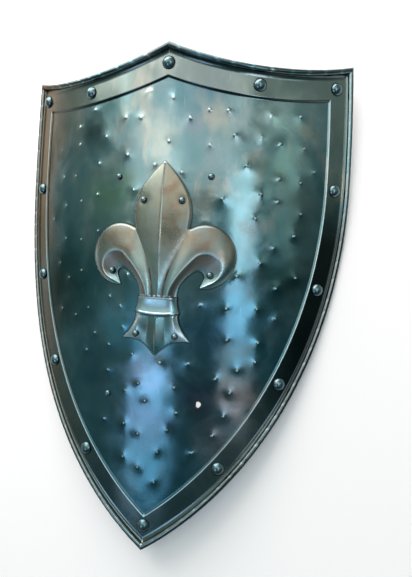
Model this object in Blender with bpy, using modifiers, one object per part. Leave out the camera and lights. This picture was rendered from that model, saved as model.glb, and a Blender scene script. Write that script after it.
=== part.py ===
"""Heater shield of bent sheet steel, with a rolled rim, a raised border and a riveted fleur-de-lis.

The shield lies on its back, face up. +Y points to the peak, +X to the right side as seen from the
front, +Z up out of the face. Places on the shield are given along the sheet before it is bent:
across from the centre line, up from the middle of the height, and high above the field's face.
"""

import math

import bmesh
import bpy
from mathutils import Matrix, Vector
from mathutils.bvhtree import BVHTree
from mathutils.geometry import delaunay_2d_cdt

MM = 0.001

# Sheet and its bend
SHEET = 1.2 * MM
BEND_RADIUS = 367 * MM

# Outline along the sheet
HALF_WIDTH = 233 * MM
WIDEST_UP = 150 * MM
CORNER_ACROSS = 227 * MM
CORNER_UP = 297 * MM
PEAK_UP = 304 * MM
TIP_UP = -305 * MM
TOP_SAG = 23 * MM

# Raised border: its width to the middle of the step, the step and how far it stands up
BORDER_TOP = 36 * MM
BORDER_SIDE = 33 * MM
STEP_WIDTH = 3.4 * MM
BORDER_RISE = 2 * MM

# Rolled rim: outer radius, how far its centre stands above the border, and where the roll ends
ROLL_RADIUS = 3.4 * MM
ROLL_LIFT = 1.2 * MM
ROLL_END = math.radians(255)

# Facets along the outline and across the sheet
TOP_FACETS = 11
SIDE_FACETS = 30
EDGE_STEPS = 48
ROLL_FACETS = 7
FIELD_COLUMNS = 11
FIELD_ROW = 60 * MM

# Clearances
GAP = 0.3 * MM
HOLE_CLEARANCE = 0.3 * MM

# Border rivets
RIVET_HEAD_RADIUS = 8 * MM
RIVET_HEAD_HIGH = 5 * MM
RIVET_SHANK_RADIUS = 2.5 * MM
RIVET_TAIL_RADIUS = 4.5 * MM
RIVET_TAIL_HIGH = 2 * MM
RIVET_SIDES = 10
RIVET_DOME_FACETS = 3
PEAK_RIVET_DROP = 24 * MM
TIP_RIVET_RISE = 29.5 * MM
TOP_RIVET_ACROSS = 108.8 * MM
TOP_RIVET_INSET = 21.5 * MM
CORNER_RIVET_INSET = 23 * MM
SIDE_RIVET_INSET = 20.5 * MM
SIDE_RIVET_PITCH = 123.5 * MM
SIDE_RIVETS = 4

# Small rivets that hold the fleur-de-lis and the arm straps
PIN_HEAD_RADIUS = 4.1 * MM
PIN_HEAD_HIGH = 3 * MM
PIN_SHANK_RADIUS = 2 * MM
PIN_TAIL_RADIUS = 3.6 * MM
PIN_TAIL_HIGH = 1.5 * MM
PIN_SIDES = 8
PIN_DOME_FACETS = 2

# Arm strap rivets: the upper pair, and the lower pair that has lost its right rivet
STRAP_PIN_ACROSS = 58.5 * MM
UPPER_STRAP_UP = 146.8 * MM
LOWER_STRAP_UP = -123 * MM
TORN_HOLE_RADIUS = 3 * MM
TORN_HOLE_STRETCH = 1.25
TORN_HOLE_SIDES = 6

# Leather arm strap behind the upper pair
STRAP_WIDTH = 38 * MM
STRAP_THICK = 3.5 * MM
STRAP_TAB_OUT = 17 * MM
STRAP_TAB_IN = 12 * MM
STRAP_LOOP_DEEP = 42 * MM
STRAP_LOOP_FLAT = 34 * MM
STRAP_LEAVE = 20 * MM
STRAP_CLIP = 6 * MM
TAB_FACETS = 3
LOOP_FACETS = 7

# Fleur-de-lis: its sheet, its place and the heights of its ridges and folds
FLEUR_SHEET = 1 * MM
FLEUR_ACROSS = 2 * MM
RIDGE_HIGH = 5.2 * MM
FOLD_HIGH = 1.4 * MM
COLLAR_HIGH = 7 * MM
COLLAR_WAIST_HIGH = 6.1 * MM
OUTER_FULLNESS = 0.72
INNER_HOLLOW = 0.36
PETAL_FULLNESS = 0.56

# Fleur-de-lis: places of its forms, across and up, and the points that pull its free curves
FLEUR_TIP_UP = 164 * MM
FOLD_PULLS = ((7.5 * MM, 30 * MM), (21.5 * MM, 60 * MM))
RIDGE_PULLS = ((14.5 * MM, 20 * MM), (32 * MM, 39.4 * MM))
HOOK_PULLS = ((23.5 * MM, 19 * MM), (33 * MM, 27 * MM))
BLADE_PULLS = ((42 * MM, 116 * MM), (28 * MM, 138 * MM))
FOOT_PULLS = ((12 * MM, -57 * MM), (18 * MM, -48 * MM))
PETAL_EYE = (54 * MM, 52 * MM)
PETAL_RADIUS = 37.3 * MM
PETAL_START = math.radians(123)
PETAL_END = math.radians(-96.4)
RIDGE_EYE = (56 * MM, 38 * MM)
RIDGE_RADIUS = 18 * MM
RIDGE_START = math.radians(135)
RIDGE_TURN = math.radians(-60)
HOOK_EYE = (47 * MM, 27.5 * MM)
HOOK_RADIUS = 7.7 * MM
HOOK_START = math.radians(125)
HOOK_TURN = math.radians(-10)
CREST_FALL = 0.72
NECK_UP = 3.6 * MM
NECK_HALF = 23.5 * MM
NECK_FOLD = 6.5 * MM
NECK_RIDGE = 13 * MM
COLLAR_TOP_UP = 1.6 * MM
COLLAR_TOP_HALF = 24.8 * MM
COLLAR_FOOT_UP = -16.5 * MM
COLLAR_FOOT_HALF = 28 * MM
COLLAR_BOW = 2.5 * MM
COLLAR_WAIST = 1 * MM
FOOT_TOP_UP = -19.5 * MM
FOOT_TOP_HALF = 26.5 * MM
FOOT_TIP = (42.5 * MM, -49.8 * MM)
FOOT_POINT_UP = -69.2 * MM
FOOT_FLARE = 1.8
FOOT_VALLEY = 0.28
FLEUR_PINS = ((23.7 * MM, 117.3 * MM), (61.6 * MM, 30.7 * MM), (24.4 * MM, -43.9 * MM))
FOLD_FACETS = 5
CURL_FACETS = 11
BLADE_FACETS = 6
FOOT_FACETS = 4

# Small flats where the rim meets the floor
FLAT_DEPTH = 0.4 * MM

# Densities in kg per cubic metre, for the balance of the lying shield
STEEL_DENSITY = 7850
LEATHER_DENSITY = 900


def clear_scene():
    for thing in list(bpy.data.objects):
        bpy.data.objects.remove(thing, do_unlink=True)


def collection(name):
    group = bpy.data.collections.new(name)
    bpy.context.scene.collection.children.link(group)
    return group


def material(name, colour, roughness, metallic):
    surface = bpy.data.materials.new(name)
    surface.use_nodes = True
    shader = surface.node_tree.nodes["Principled BSDF"]
    shader.inputs["Base Color"].default_value = (*colour, 1)
    shader.inputs["Roughness"].default_value = roughness
    shader.inputs["Metallic"].default_value = metallic
    return surface


def bend(across, up, high):
    """Place of a point of the flat sheet once the sheet is bent around its centre line."""
    angle = across / BEND_RADIUS
    radius = BEND_RADIUS + high
    return Vector((radius * math.sin(angle), up, radius * math.cos(angle) - BEND_RADIUS))


def stand_on_sheet(thing, across, up, high):
    """Puts an object on the bent sheet with its +Z along the sheet's outward normal."""
    thing.location = bend(across, up, high)
    thing.rotation_euler = (0, across / BEND_RADIUS, 0)


# Curves in the plane of the flat sheet


def arc(centre, radius, start, end, count):
    angles = [start + (end - start) * i / count for i in range(count + 1)]
    return [(centre[0] + radius * math.cos(a), centre[1] + radius * math.sin(a)) for a in angles]


def bezier(points, share):
    """Point of a Bezier curve at a share of its parameter, by repeated division."""
    row = [Vector(point) for point in points]
    while len(row) > 1:
        row = [a.lerp(b, share) for a, b in zip(row, row[1:])]
    return tuple(row[0])


def bezier_path(points, count):
    return [bezier(points, i / count) for i in range(count + 1)]


def lengths_along(path):
    total = [0.0]
    for a, b in zip(path, path[1:]):
        total.append(total[-1] + math.dist(a, b))
    return total


def point_at(path, distance):
    """Point of a polyline at a distance along it."""
    total = lengths_along(path)
    for i in range(1, len(path)):
        if distance <= total[i] or i == len(path) - 1:
            share = (distance - total[i - 1]) / (total[i] - total[i - 1])
            return tuple(Vector(path[i - 1]).lerp(Vector(path[i]), share))


# Outline of the shield


def top_edge(count):
    """From the peak to the right corner, an arc that sags towards the field."""
    peak = Vector((0, PEAK_UP))
    corner = Vector((CORNER_ACROSS, CORNER_UP))
    chord = (corner - peak).length
    radius = (chord ** 2 / 4 + TOP_SAG ** 2) / (2 * TOP_SAG)
    along = (corner - peak) / chord
    centre = (peak + corner) / 2 + Vector((-along.y, along.x)) * (radius - TOP_SAG)
    start = math.atan2(peak.y - centre.y, peak.x - centre.x)
    end = math.atan2(corner.y - centre.y, corner.x - centre.x)
    return arc(centre, radius, start, end, count)


def side_edge(across, up, count):
    """From the widest place to the corner or the tip, an arc that starts parallel to the centre line."""
    inward = HALF_WIDTH - across
    rise = up - WIDEST_UP
    radius = (rise ** 2 + inward ** 2) / (2 * inward)
    sweep = math.asin(rise / radius)
    return arc((HALF_WIDTH - radius, WIDEST_UP), radius, 0, sweep, count)


def moved_inwards(path, distance):
    """A polyline that runs clockwise, moved towards the field by a distance."""
    moved = []
    for i, (across, up) in enumerate(path):
        before, after = path[max(0, i - 1)], path[min(len(path) - 1, i + 1)]
        length = math.dist(before, after)
        moved.append((across + (after[1] - before[1]) / length * distance,
                      up - (after[0] - before[0]) / length * distance))
    return moved


def crossing(first, second):
    """Where two polylines cross: the point, and the number of the segment on each."""
    for i, (a, b) in enumerate(zip(first, first[1:])):
        for j, (c, d) in enumerate(zip(second, second[1:])):
            turn = (b[0] - a[0]) * (d[1] - c[1]) - (b[1] - a[1]) * (d[0] - c[0])
            if abs(turn) < 1e-15:
                continue
            along_a = ((c[0] - a[0]) * (d[1] - c[1]) - (c[1] - a[1]) * (d[0] - c[0])) / turn
            along_c = ((c[0] - a[0]) * (b[1] - a[1]) - (c[1] - a[1]) * (b[0] - a[0])) / turn
            if -1e-9 <= along_a <= 1 + 1e-9 and -1e-9 <= along_c <= 1 + 1e-9:
                return (a[0] + (b[0] - a[0]) * along_a, a[1] + (b[1] - a[1]) * along_a), i, j
    raise ValueError("the outline's edges don't meet: its inset is too large")


def right_edges(top_inset, side_inset):
    """Top edge and side edge of the right half, moved inwards, from the peak to the corner to the tip."""
    shoulder = side_edge(CORNER_ACROSS, CORNER_UP, EDGE_STEPS)[::-1]
    top = moved_inwards(top_edge(EDGE_STEPS), top_inset)
    side = moved_inwards(shoulder[:-1] + side_edge(0, TIP_UP, EDGE_STEPS), side_inset)
    middle = [(0, PEAK_UP), (0, TIP_UP)]
    peak, start, _ = crossing(top, middle)
    top = [peak] + top[start + 1:]
    tip, end, _ = crossing(side, middle)
    side = side[:end + 1] + [tip]
    corner, top_end, side_start = crossing(top, side)
    return top[:top_end + 1] + [corner], [corner] + side[side_start + 1:]


def evenly(path, count):
    """Points that divide a polyline into equal lengths."""
    length = lengths_along(path)[-1]
    return [path[0]] + [point_at(path, length * i / count) for i in range(1, count)] + [path[-1]]


def ring(top_inset, side_inset):
    """Closed line around the shield, clockwise from the peak, at its distances from the outline."""
    top, side = right_edges(top_inset, side_inset)
    right = evenly(top, TOP_FACETS)[:-1] + evenly(side, SIDE_FACETS)
    return right + [(-across, up) for across, up in right[-2:0:-1]]


def roll_angles(count):
    """Angles of the rolled rim's section, from where it leaves the border, over its crest and back under."""
    start = -math.asin(ROLL_LIFT / ROLL_RADIUS)
    return [start + (ROLL_END - start) * i / count for i in range(count + 1)]


def roll_place(angle):
    """Inset from the outline and height of a point on the rolled rim's section."""
    return ROLL_RADIUS * (1 + math.cos(angle)), BORDER_RISE + ROLL_LIFT + ROLL_RADIUS * math.sin(angle)


# Meshes


def mesh_object(name, group, rest, points, faces):
    """Object from places already bent, with doubled points merged."""
    form = bmesh.new()
    corners = [form.verts.new(point) for point in points]
    for face in faces:
        form.faces.new([corners[i] for i in face])
    bmesh.ops.remove_doubles(form, verts=form.verts, dist=0.01 * MM)
    bmesh.ops.dissolve_degenerate(form, edges=form.edges, dist=0.01 * MM)
    data = bpy.data.meshes.new(name)
    form.to_mesh(data)
    form.free()
    thing = bpy.data.objects.new(name, data)
    group.objects.link(thing)
    thing.parent = rest
    return thing


def strip_faces(rows, columns, first=0, closed=False):
    """Quads of a grid of points given row by row."""
    faces = []
    for row in range(rows - 1):
        for column in range(columns if closed else columns - 1):
            beside = (column + 1) % columns
            low = first + row * columns
            high = low + columns
            faces.append((low + column, low + beside, high + beside, high + column))
    return faces


def solidify(thing, thickness):
    shell = thing.modifiers.new("sheet", "SOLIDIFY")
    shell.thickness = thickness
    shell.offset = -1


def cut(thing, cutter):
    hole = thing.modifiers.new("cut by " + cutter.name, "BOOLEAN")
    hole.operation = "DIFFERENCE"
    hole.object = cutter


def hide_cutter(cutter):
    cutter.hide_render = True
    cutter.display_type = "WIRE"


# Plate


def field_points(top, side):
    """Points on straight lines up the sheet, which stay straight when it is bent, inside the field."""
    points = []
    for column in range(FIELD_COLUMNS):
        across = top[-1][0] * column / FIELD_COLUMNS
        upright = [(across, PEAK_UP), (across, TIP_UP)]
        high = crossing(top, upright)[0][1]
        low = crossing(side, upright)[0][1]
        rows = round((high - low) / FIELD_ROW)
        for row in range(1, rows):
            up = low + (high - low) * row / rows
            points += [(across, up), (-across, up)] if column else [(0, up)]
    return points


def fill(line, inside):
    """Triangles that join a closed line and the points inside it, more across the sheet than along it."""
    squash = line[TOP_FACETS][0] / FIELD_COLUMNS / FIELD_ROW
    places = [Vector((across, up * squash)) for across, up in line + inside]
    _, _, faces, origins, _, _ = delaunay_2d_cdt(places, [], [list(range(len(line)))], 1, 1e-7)
    return [[origins[i][0] for i in face] for face in faces]


def build_plate(group, rest, surface):
    """The one steel sheet: field, step, raised border and rolled rim, from the field outwards."""
    insets = (BORDER_TOP + STEP_WIDTH / 2, BORDER_SIDE + STEP_WIDTH / 2)
    field = ring(*insets)
    rings = [(field, 0), (ring(BORDER_TOP - STEP_WIDTH / 2, BORDER_SIDE - STEP_WIDTH / 2), BORDER_RISE),
             (ring(BORDER_TOP / 2, BORDER_SIDE / 2), BORDER_RISE)]
    for angle in roll_angles(ROLL_FACETS):
        inward, high = roll_place(angle)
        rings.append((ring(inward, inward), high))
    inside = field_points(*right_edges(*insets))
    faces = strip_faces(len(rings), len(field), closed=True)
    before = len(field) * (len(rings) - 1)
    faces += [[i if i < len(field) else i + before for i in face] for face in fill(field, inside)]
    points = [bend(across, up, high) for line, high in rings for across, up in line]
    points += [bend(across, up, 0) for across, up in inside]
    plate = mesh_object("shield_plate", group, rest, points, faces)
    solidify(plate, SHEET)
    plate.data.materials.append(surface)
    return plate


# Rivets


def dome(radius, high, count):
    """Profile of a domed head from its top on the axis to its rim."""
    ball = (radius ** 2 + high ** 2) / (2 * high)
    half = math.asin(min(1, radius / ball))
    return [(ball * math.sin(half * i / count), ball * math.cos(half * i / count) - ball + high)
            for i in range(count + 1)]


def rivet_mesh(name, head, shank, tail, grip, facets):
    """Profile of a rivet: head and tail as (radius, height), the underside of the head at 0."""
    profile = dome(*head, facets) + [(shank, 0), (shank, -grip), (tail[0], -grip), (0, -grip - tail[1])]
    data = bpy.data.meshes.new(name)
    edges = [(i, i + 1) for i in range(len(profile) - 1)]
    data.from_pydata([(x, 0, z) for x, z in profile], edges, [])
    return data


def turned(name, data, group, rest, sides, surface):
    """Rivet turned from its profile."""
    thing = bpy.data.objects.new(name, data)
    group.objects.link(thing)
    thing.parent = rest
    screw = thing.modifiers.new("turn", "SCREW")
    screw.steps = sides
    screw.render_steps = sides
    screw.use_merge_vertices = True
    screw.merge_threshold = 0.01 * MM
    if not data.materials:
        data.materials.append(surface)
    return thing


def side_rivet_places():
    """The corner rivet and those that follow it down the right side at an even pitch."""
    corner = right_edges(CORNER_RIVET_INSET, CORNER_RIVET_INSET)[1][0]
    side = right_edges(CORNER_RIVET_INSET, SIDE_RIVET_INSET)[1]
    return [corner] + [point_at(side, SIDE_RIVET_PITCH * i) for i in range(1, SIDE_RIVETS + 1)]


def top_rivet_place():
    """On the inset top edge, at its own distance from the centre line."""
    upright = [(TOP_RIVET_ACROSS, PEAK_UP), (TOP_RIVET_ACROSS, 0)]
    return crossing(right_edges(TOP_RIVET_INSET, TOP_RIVET_INSET)[0], upright)[0]


def border_rivet_places():
    """Name, across and up of each rivet in the border."""
    places = [("border_rivet_peak", 0, PEAK_UP - PEAK_RIVET_DROP),
              ("border_rivet_tip", 0, TIP_UP + TIP_RIVET_RISE)]
    labels = ["top", "corner"] + ["side_%d" % i for i in range(1, SIDE_RIVETS + 1)]
    for label, (across, up) in zip(labels, [top_rivet_place()] + side_rivet_places()):
        places.append(("border_rivet_right_" + label, across, up))
        places.append(("border_rivet_left_" + label, -across, up))
    return places


def build_border_rivets(group, rest, surface):
    grip = SHEET + 2 * GAP
    head = (RIVET_HEAD_RADIUS, RIVET_HEAD_HIGH)
    tail = (RIVET_TAIL_RADIUS, RIVET_TAIL_HIGH)
    data = rivet_mesh("border_rivet", head, RIVET_SHANK_RADIUS, tail, grip, RIVET_DOME_FACETS)
    for name, across, up in border_rivet_places():
        rivet = turned(name, data, group, rest, RIVET_SIDES, surface)
        stand_on_sheet(rivet, across, up, BORDER_RISE + GAP)


def build_pin(name, group, rest, surface, place, seat, behind):
    """Small rivet at a place, its head's underside at the height seat, clear of what lies behind."""
    grip = seat + GAP + behind
    head = (PIN_HEAD_RADIUS, PIN_HEAD_HIGH)
    tail = (PIN_TAIL_RADIUS, PIN_TAIL_HIGH)
    data = rivet_mesh(name, head, PIN_SHANK_RADIUS, tail, grip, PIN_DOME_FACETS)
    pin = turned(name, data, group, rest, PIN_SIDES, surface)
    stand_on_sheet(pin, *place, seat)


def strap_pins():
    """Name, place and depth behind the field's face of the rivets of the two arm straps."""
    strapped = SHEET + GAP + STRAP_THICK
    return [("strap_rivet_upper_left", (-STRAP_PIN_ACROSS, UPPER_STRAP_UP), strapped),
            ("strap_rivet_upper_right", (STRAP_PIN_ACROSS, UPPER_STRAP_UP), strapped),
            ("strap_rivet_lower_left", (-STRAP_PIN_ACROSS, LOWER_STRAP_UP), SHEET)]


def fleur_pin_places():
    labels = ("upper", "middle", "lower")
    places = []
    for label, (across, up) in zip(labels, FLEUR_PINS):
        places.append(("fleur_rivet_%s_right" % label, (FLEUR_ACROSS + across, up)))
        places.append(("fleur_rivet_%s_left" % label, (FLEUR_ACROSS - across, up)))
    return places


def build_hole_cutter(group, rest):
    """Rods through every rivet's place, and the stretched one of the rivet that is lost.

    Each is turned by half of half a side, so that no corner of a hole lands on the plate's middle line.
    """
    form = bmesh.new()
    rods = [((across, up), RIVET_SHANK_RADIUS, 1, RIVET_SIDES) for _, across, up in border_rivet_places()]
    rods += [(place, PIN_SHANK_RADIUS, 1, PIN_SIDES) for _, place, _ in strap_pins()]
    rods += [(place, PIN_SHANK_RADIUS, 1, PIN_SIDES) for _, place in fleur_pin_places()]
    torn = TORN_HOLE_RADIUS - HOLE_CLEARANCE
    rods.append(((STRAP_PIN_ACROSS, LOWER_STRAP_UP), torn, TORN_HOLE_STRETCH, TORN_HOLE_SIDES))
    for place, radius, stretch, sides in rods:
        turn = Matrix.Rotation(place[0] / BEND_RADIUS, 4, "Y")
        spin = Matrix.Rotation(math.pi / sides / 2, 4, "Z")
        seat = Matrix.Translation(bend(*place, 0)) @ turn @ Matrix.Diagonal((1, stretch, 1, 1)) @ spin
        wide = (radius + HOLE_CLEARANCE) / math.cos(math.pi / sides)
        bmesh.ops.create_cone(form, cap_ends=True, segments=sides, radius1=wide, radius2=wide,
                              depth=2 * (STRAP_THICK + COLLAR_HIGH), matrix=seat)
    data = bpy.data.meshes.new("rivet_holes")
    form.to_mesh(data)
    form.free()
    cutter = bpy.data.objects.new("rivet_holes", data)
    group.objects.link(cutter)
    cutter.parent = rest
    hide_cutter(cutter)
    return cutter


# Fleur-de-lis


def neck_shares():
    """Columns of the neck as shares of its half width: fold, ridge and the places between."""
    fold, ridge = NECK_FOLD / NECK_HALF, NECK_RIDGE / NECK_HALF
    return [0, fold / 2, fold, (fold + ridge) / 2, ridge, (ridge + 1) / 2, 1]


def curl_paths(fold_count, curl_count):
    """Stations along a side petal, each with its outer edge, ridge and inner edge."""
    outer_start = (PETAL_EYE[0] + PETAL_RADIUS * math.cos(PETAL_START),
                   PETAL_EYE[1] + PETAL_RADIUS * math.sin(PETAL_START))
    fold = bezier_path([(NECK_FOLD, NECK_UP), *FOLD_PULLS, outer_start], fold_count)
    outer = fold + arc(PETAL_EYE, PETAL_RADIUS, PETAL_START, PETAL_END, curl_count)[1:]
    tip = outer[-1]
    ridge_curl = arc(RIDGE_EYE, RIDGE_RADIUS, RIDGE_START, RIDGE_TURN, 3 * curl_count)
    ridge_foot = [(NECK_RIDGE, NECK_UP), *RIDGE_PULLS, ridge_curl[0]]
    ridge = bezier_path(ridge_foot, 3 * fold_count)[:-1] + ridge_curl + [tip]
    hook_curl = arc(HOOK_EYE, HOOK_RADIUS, HOOK_START, HOOK_TURN, 3 * curl_count)
    hook_foot = [(NECK_HALF, NECK_UP), *HOOK_PULLS, hook_curl[0]]
    inner = bezier_path(hook_foot, 3 * fold_count)[:-1] + hook_curl + [tip]
    along = lengths_along(outer)
    shares = [distance / along[-1] for distance in along]
    ridge_length, inner_length = lengths_along(ridge)[-1], lengths_along(inner)[-1]
    return [(point, point_at(ridge, ridge_length * share), point_at(inner, inner_length * share))
            for point, share in zip(outer, shares)], shares


def ease(share):
    """Rises from 0 to 1 with level ends."""
    return share * share * (3 - 2 * share)


def side_petal(fold_count, curl_count):
    """Rows of places (across, up, high) along a side petal, from its neck to the tip of its hook."""
    stations, shares = curl_paths(fold_count, curl_count)
    pinch = shares[fold_count]
    rows = []
    for (outer, ridge, inner), share in zip(stations, shares):
        fold = FOLD_HIGH * (1 - ease(min(1, share / pinch)))
        crest = RIDGE_HIGH * (1 - max(0, (share - CREST_FALL) / (1 - CREST_FALL)) ** 2)
        middle = Vector(outer).lerp(Vector(ridge), 0.5)
        hollow = Vector(ridge).lerp(Vector(inner), 0.5)
        rows.append([(*outer, fold), (*middle, fold + (crest - fold) * OUTER_FULLNESS), (*ridge, crest),
                     (*hollow, crest * INNER_HOLLOW), (*inner, 0)])
    return rows


def centre_petal(fold_count, blade_count):
    """Rows of places across the right half of the centre petal, from the neck to its point."""
    stations, shares = curl_paths(fold_count, CURL_FACETS)
    pinch = stations[fold_count][0]
    blade = bezier_path([pinch, *BLADE_PULLS, (0, FLEUR_TIP_UP)], blade_count)
    edge = [station[0] for station in stations[:fold_count]] + blade
    rows = []
    for i, (across, up) in enumerate(edge):
        fold = FOLD_HIGH * (1 - ease(min(1, i / fold_count)))
        rise = max(0, (up - pinch[1]) / (FLEUR_TIP_UP - pinch[1]))
        crest = RIDGE_HIGH * (1 - rise ** 3)
        middle = fold + (crest - fold) * PETAL_FULLNESS
        rows.append([(0, up, crest), (across / 2, up, middle), (across, up, fold)])
    return rows


def neck_heights():
    """Heights across the neck, where the petals go under the collar."""
    crests = side_petal(FOLD_FACETS, CURL_FACETS)[0]
    centre = centre_petal(FOLD_FACETS, BLADE_FACETS)[0]
    return [centre[0][2], centre[1][2]] + [place[2] for place in crests]


def arch(share):
    """Height across the collar as a share of its middle height, dropping at its ends."""
    return 1 - share ** 6


def collar_rows(shares):
    """Rows across the right half of the collar, between the neck above and the foot below."""
    rows = [[(NECK_HALF * share, NECK_UP, high) for share, high in zip(shares, neck_heights())]]
    waist_half = (COLLAR_TOP_HALF + COLLAR_FOOT_HALF) / 2 - COLLAR_WAIST
    waist_up = (COLLAR_TOP_UP + COLLAR_FOOT_UP) / 2
    for half, up, high in ((COLLAR_TOP_HALF, COLLAR_TOP_UP, COLLAR_HIGH),
                           (waist_half, waist_up, COLLAR_WAIST_HIGH),
                           (COLLAR_FOOT_HALF, COLLAR_FOOT_UP, COLLAR_HIGH)):
        bow = COLLAR_BOW * (COLLAR_TOP_UP - up) / (COLLAR_TOP_UP - COLLAR_FOOT_UP)
        rows.append([(half * share, up - bow * (1 - share ** 2), high * arch(share)) for share in shares])
    return rows


def foot_rows(shares, count):
    """Rows across the right half of the flared foot, from under the collar to its points."""
    ridge_share = shares[5]
    lower_edge = [(0, FOOT_POINT_UP), *FOOT_PULLS, FOOT_TIP]
    rows = []
    for i in range(count + 1):
        down = i / count
        row = []
        for share in shares:
            toward = share / ridge_share
            valley = FOOT_VALLEY + (1 - FOOT_VALLEY) * (2 * min(1, toward) - 1) ** 2
            high = RIDGE_HIGH * valley if share < 1 else 0
            end = bezier(lower_edge, share)
            top_up = FOOT_TOP_UP - COLLAR_BOW * (1 - share ** 2)
            across = FOOT_TOP_HALF * share + (end[0] - FOOT_TOP_HALF * share) * down ** FOOT_FLARE
            row.append((across, top_up + (end[1] - top_up) * down, high * (1 - down ** 2)))
        rows.append(row)
    return rows


def build_fleur(group, rest, surface):
    """One pressed sheet: three petals, the collar and the foot, mirrored about its own centre line."""
    shares = neck_shares()
    lower = collar_rows(shares) + foot_rows(shares, FOOT_FACETS)
    patches = [lower[::-1], centre_petal(FOLD_FACETS, BLADE_FACETS), side_petal(FOLD_FACETS, CURL_FACETS)]
    base = GAP + FLEUR_SHEET
    points, faces = [], []
    for side in (1, -1):
        for rows in patches:
            quads = strip_faces(len(rows), len(rows[0]), first=len(points))
            faces += quads if side == 1 else [quad[::-1] for quad in quads]
            points += [(FLEUR_ACROSS + side * x, y, base + z) for row in rows for x, y, z in row]
    flat = [Vector(point) for point in points]
    bent = [bend(*point) for point in points]
    fleur = mesh_object("fleur_de_lis", group, rest, bent, faces)
    solidify(fleur, FLEUR_SHEET)
    fleur.data.materials.append(surface)
    return fleur, BVHTree.FromPolygons(flat, faces)


def seat_height(tree, place):
    """Height of the fleur-de-lis under a small rivet's head, at the head's middle or rim."""
    heights = []
    for i in range(PIN_SIDES):
        angle = math.tau * i / PIN_SIDES
        for reach in (0, PIN_HEAD_RADIUS / 2, PIN_HEAD_RADIUS):
            start = Vector((place[0] + reach * math.cos(angle), place[1] + reach * math.sin(angle), 1))
            hit = tree.ray_cast(start, Vector((0, 0, -1)))[0]
            if hit:
                heights.append(hit.z)
    return max(heights)


# Arm strap


def strap_line():
    """Side view of the strap's inner face, from its left end to its right end, as across and depth."""
    back = -SHEET - GAP
    inner = STRAP_PIN_ACROSS - STRAP_TAB_IN
    outer = STRAP_PIN_ACROSS + STRAP_TAB_OUT
    tab = [bend(-outer + (outer - inner) * i / TAB_FACETS, 0, back) for i in range(TAB_FACETS + 1)]
    leave = tab[-1] + (tab[-1] - tab[-2]).normalized() * STRAP_LEAVE
    low = back - STRAP_LOOP_DEEP
    turn = [tab[-1], leave, Vector((-STRAP_LOOP_FLAT, 0, low)), Vector((0, 0, low))]
    left = tab[:-1] + [Vector(bezier(turn, i / LOOP_FACETS)) for i in range(LOOP_FACETS + 1)]
    return left + [Vector((-point.x, 0, point.z)) for point in left[-2::-1]]


def build_strap(group, rest, surface):
    """Leather loop behind the upper pair of strap rivets, with clipped corners at its ends."""
    line = strap_line()
    points = []
    for i, place in enumerate(line):
        end = i in (0, len(line) - 1)
        half = STRAP_WIDTH / 2 - (STRAP_CLIP if end else 0)
        points += [(place.x, UPPER_STRAP_UP + side * half, place.z) for side in (1, -1)]
    faces = [(i + 1, i + 3, i + 2, i) for i in range(0, len(points) - 2, 2)]
    strap = mesh_object("arm_strap", group, rest, points, faces)
    solidify(strap, STRAP_THICK)
    strap.data.materials.append(surface)
    return strap


# Lying on the floor


def balance(things):
    """Centre of mass of the parts in the shield's own frame."""
    graph = bpy.context.evaluated_depsgraph_get()
    total, moment = 0.0, Vector((0, 0, 0))
    for thing in things:
        density = LEATHER_DENSITY if thing.name == "arm_strap" else STEEL_DENSITY
        mesh = thing.evaluated_get(graph).to_mesh()
        mesh.calc_loop_triangles()
        places = [thing.matrix_local @ vertex.co for vertex in mesh.vertices]
        for triangle in mesh.loop_triangles:
            a, b, c = (places[i] for i in triangle.vertices)
            mass = a.dot(b.cross(c)) / 6 * density
            total += mass
            moment += (a + b + c) / 4 * mass
        thing.evaluated_get(graph).to_mesh_clear()
    return moment / total


def rim_line(up):
    """Middle of the rolled rim at a height below the widest place of the right side."""
    radius = ((WIDEST_UP - TIP_UP) ** 2 + HALF_WIDTH ** 2) / (2 * HALF_WIDTH)
    across = HALF_WIDTH - radius + math.sqrt(radius ** 2 - (WIDEST_UP - up) ** 2)
    return bend(across - ROLL_RADIUS, up, BORDER_RISE + ROLL_LIFT)


def resting_lean(centre):
    """Turn about X at which the shield balances on the two places where its rim meets the floor."""
    low, high = TIP_UP / 2, WIDEST_UP
    for _ in range(50):
        up = (low + high) / 2
        here = rim_line(up)
        slope = rim_line(up + MM) - rim_line(up - MM)
        lead = (centre.y - here.y) * slope.y + (centre.z - here.z) * slope.z
        low, high = (up, high) if lead > 0 else (low, up)
    return -math.atan2(slope.z, slope.y)


def world_corners(things):
    """Lowest and highest corner of the parts as they lie."""
    bpy.context.view_layer.update()
    graph = bpy.context.evaluated_depsgraph_get()
    places = []
    for thing in things:
        seen = thing.evaluated_get(graph)
        places += [seen.matrix_world @ vertex.co for vertex in seen.to_mesh().vertices]
        seen.to_mesh_clear()
    low = Vector([min(place[axis] for place in places) for axis in range(3)])
    high = Vector([max(place[axis] for place in places) for axis in range(3)])
    return low, high


def lay_down(rest, things, plate, cutters):
    """Leans the shield to its balance, stands it on small flats cut in the rim and centres it."""
    bpy.context.view_layer.update()
    rest.rotation_euler.x = resting_lean(balance(things))
    low, high = world_corners(things)
    rest.location = (-(low.x + high.x) / 2, -(low.y + high.y) / 2, -low.z - FLAT_DEPTH)
    floor = 2 * (PEAK_UP - TIP_UP)
    bpy.ops.mesh.primitive_cube_add(size=floor, location=(0, 0, -floor / 2))
    cutter = bpy.context.object
    cutter.name = "floor_cutter"
    for owner in list(cutter.users_collection):
        owner.objects.unlink(cutter)
    cutters.objects.link(cutter)
    hide_cutter(cutter)
    cut(plate, cutter)


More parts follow.
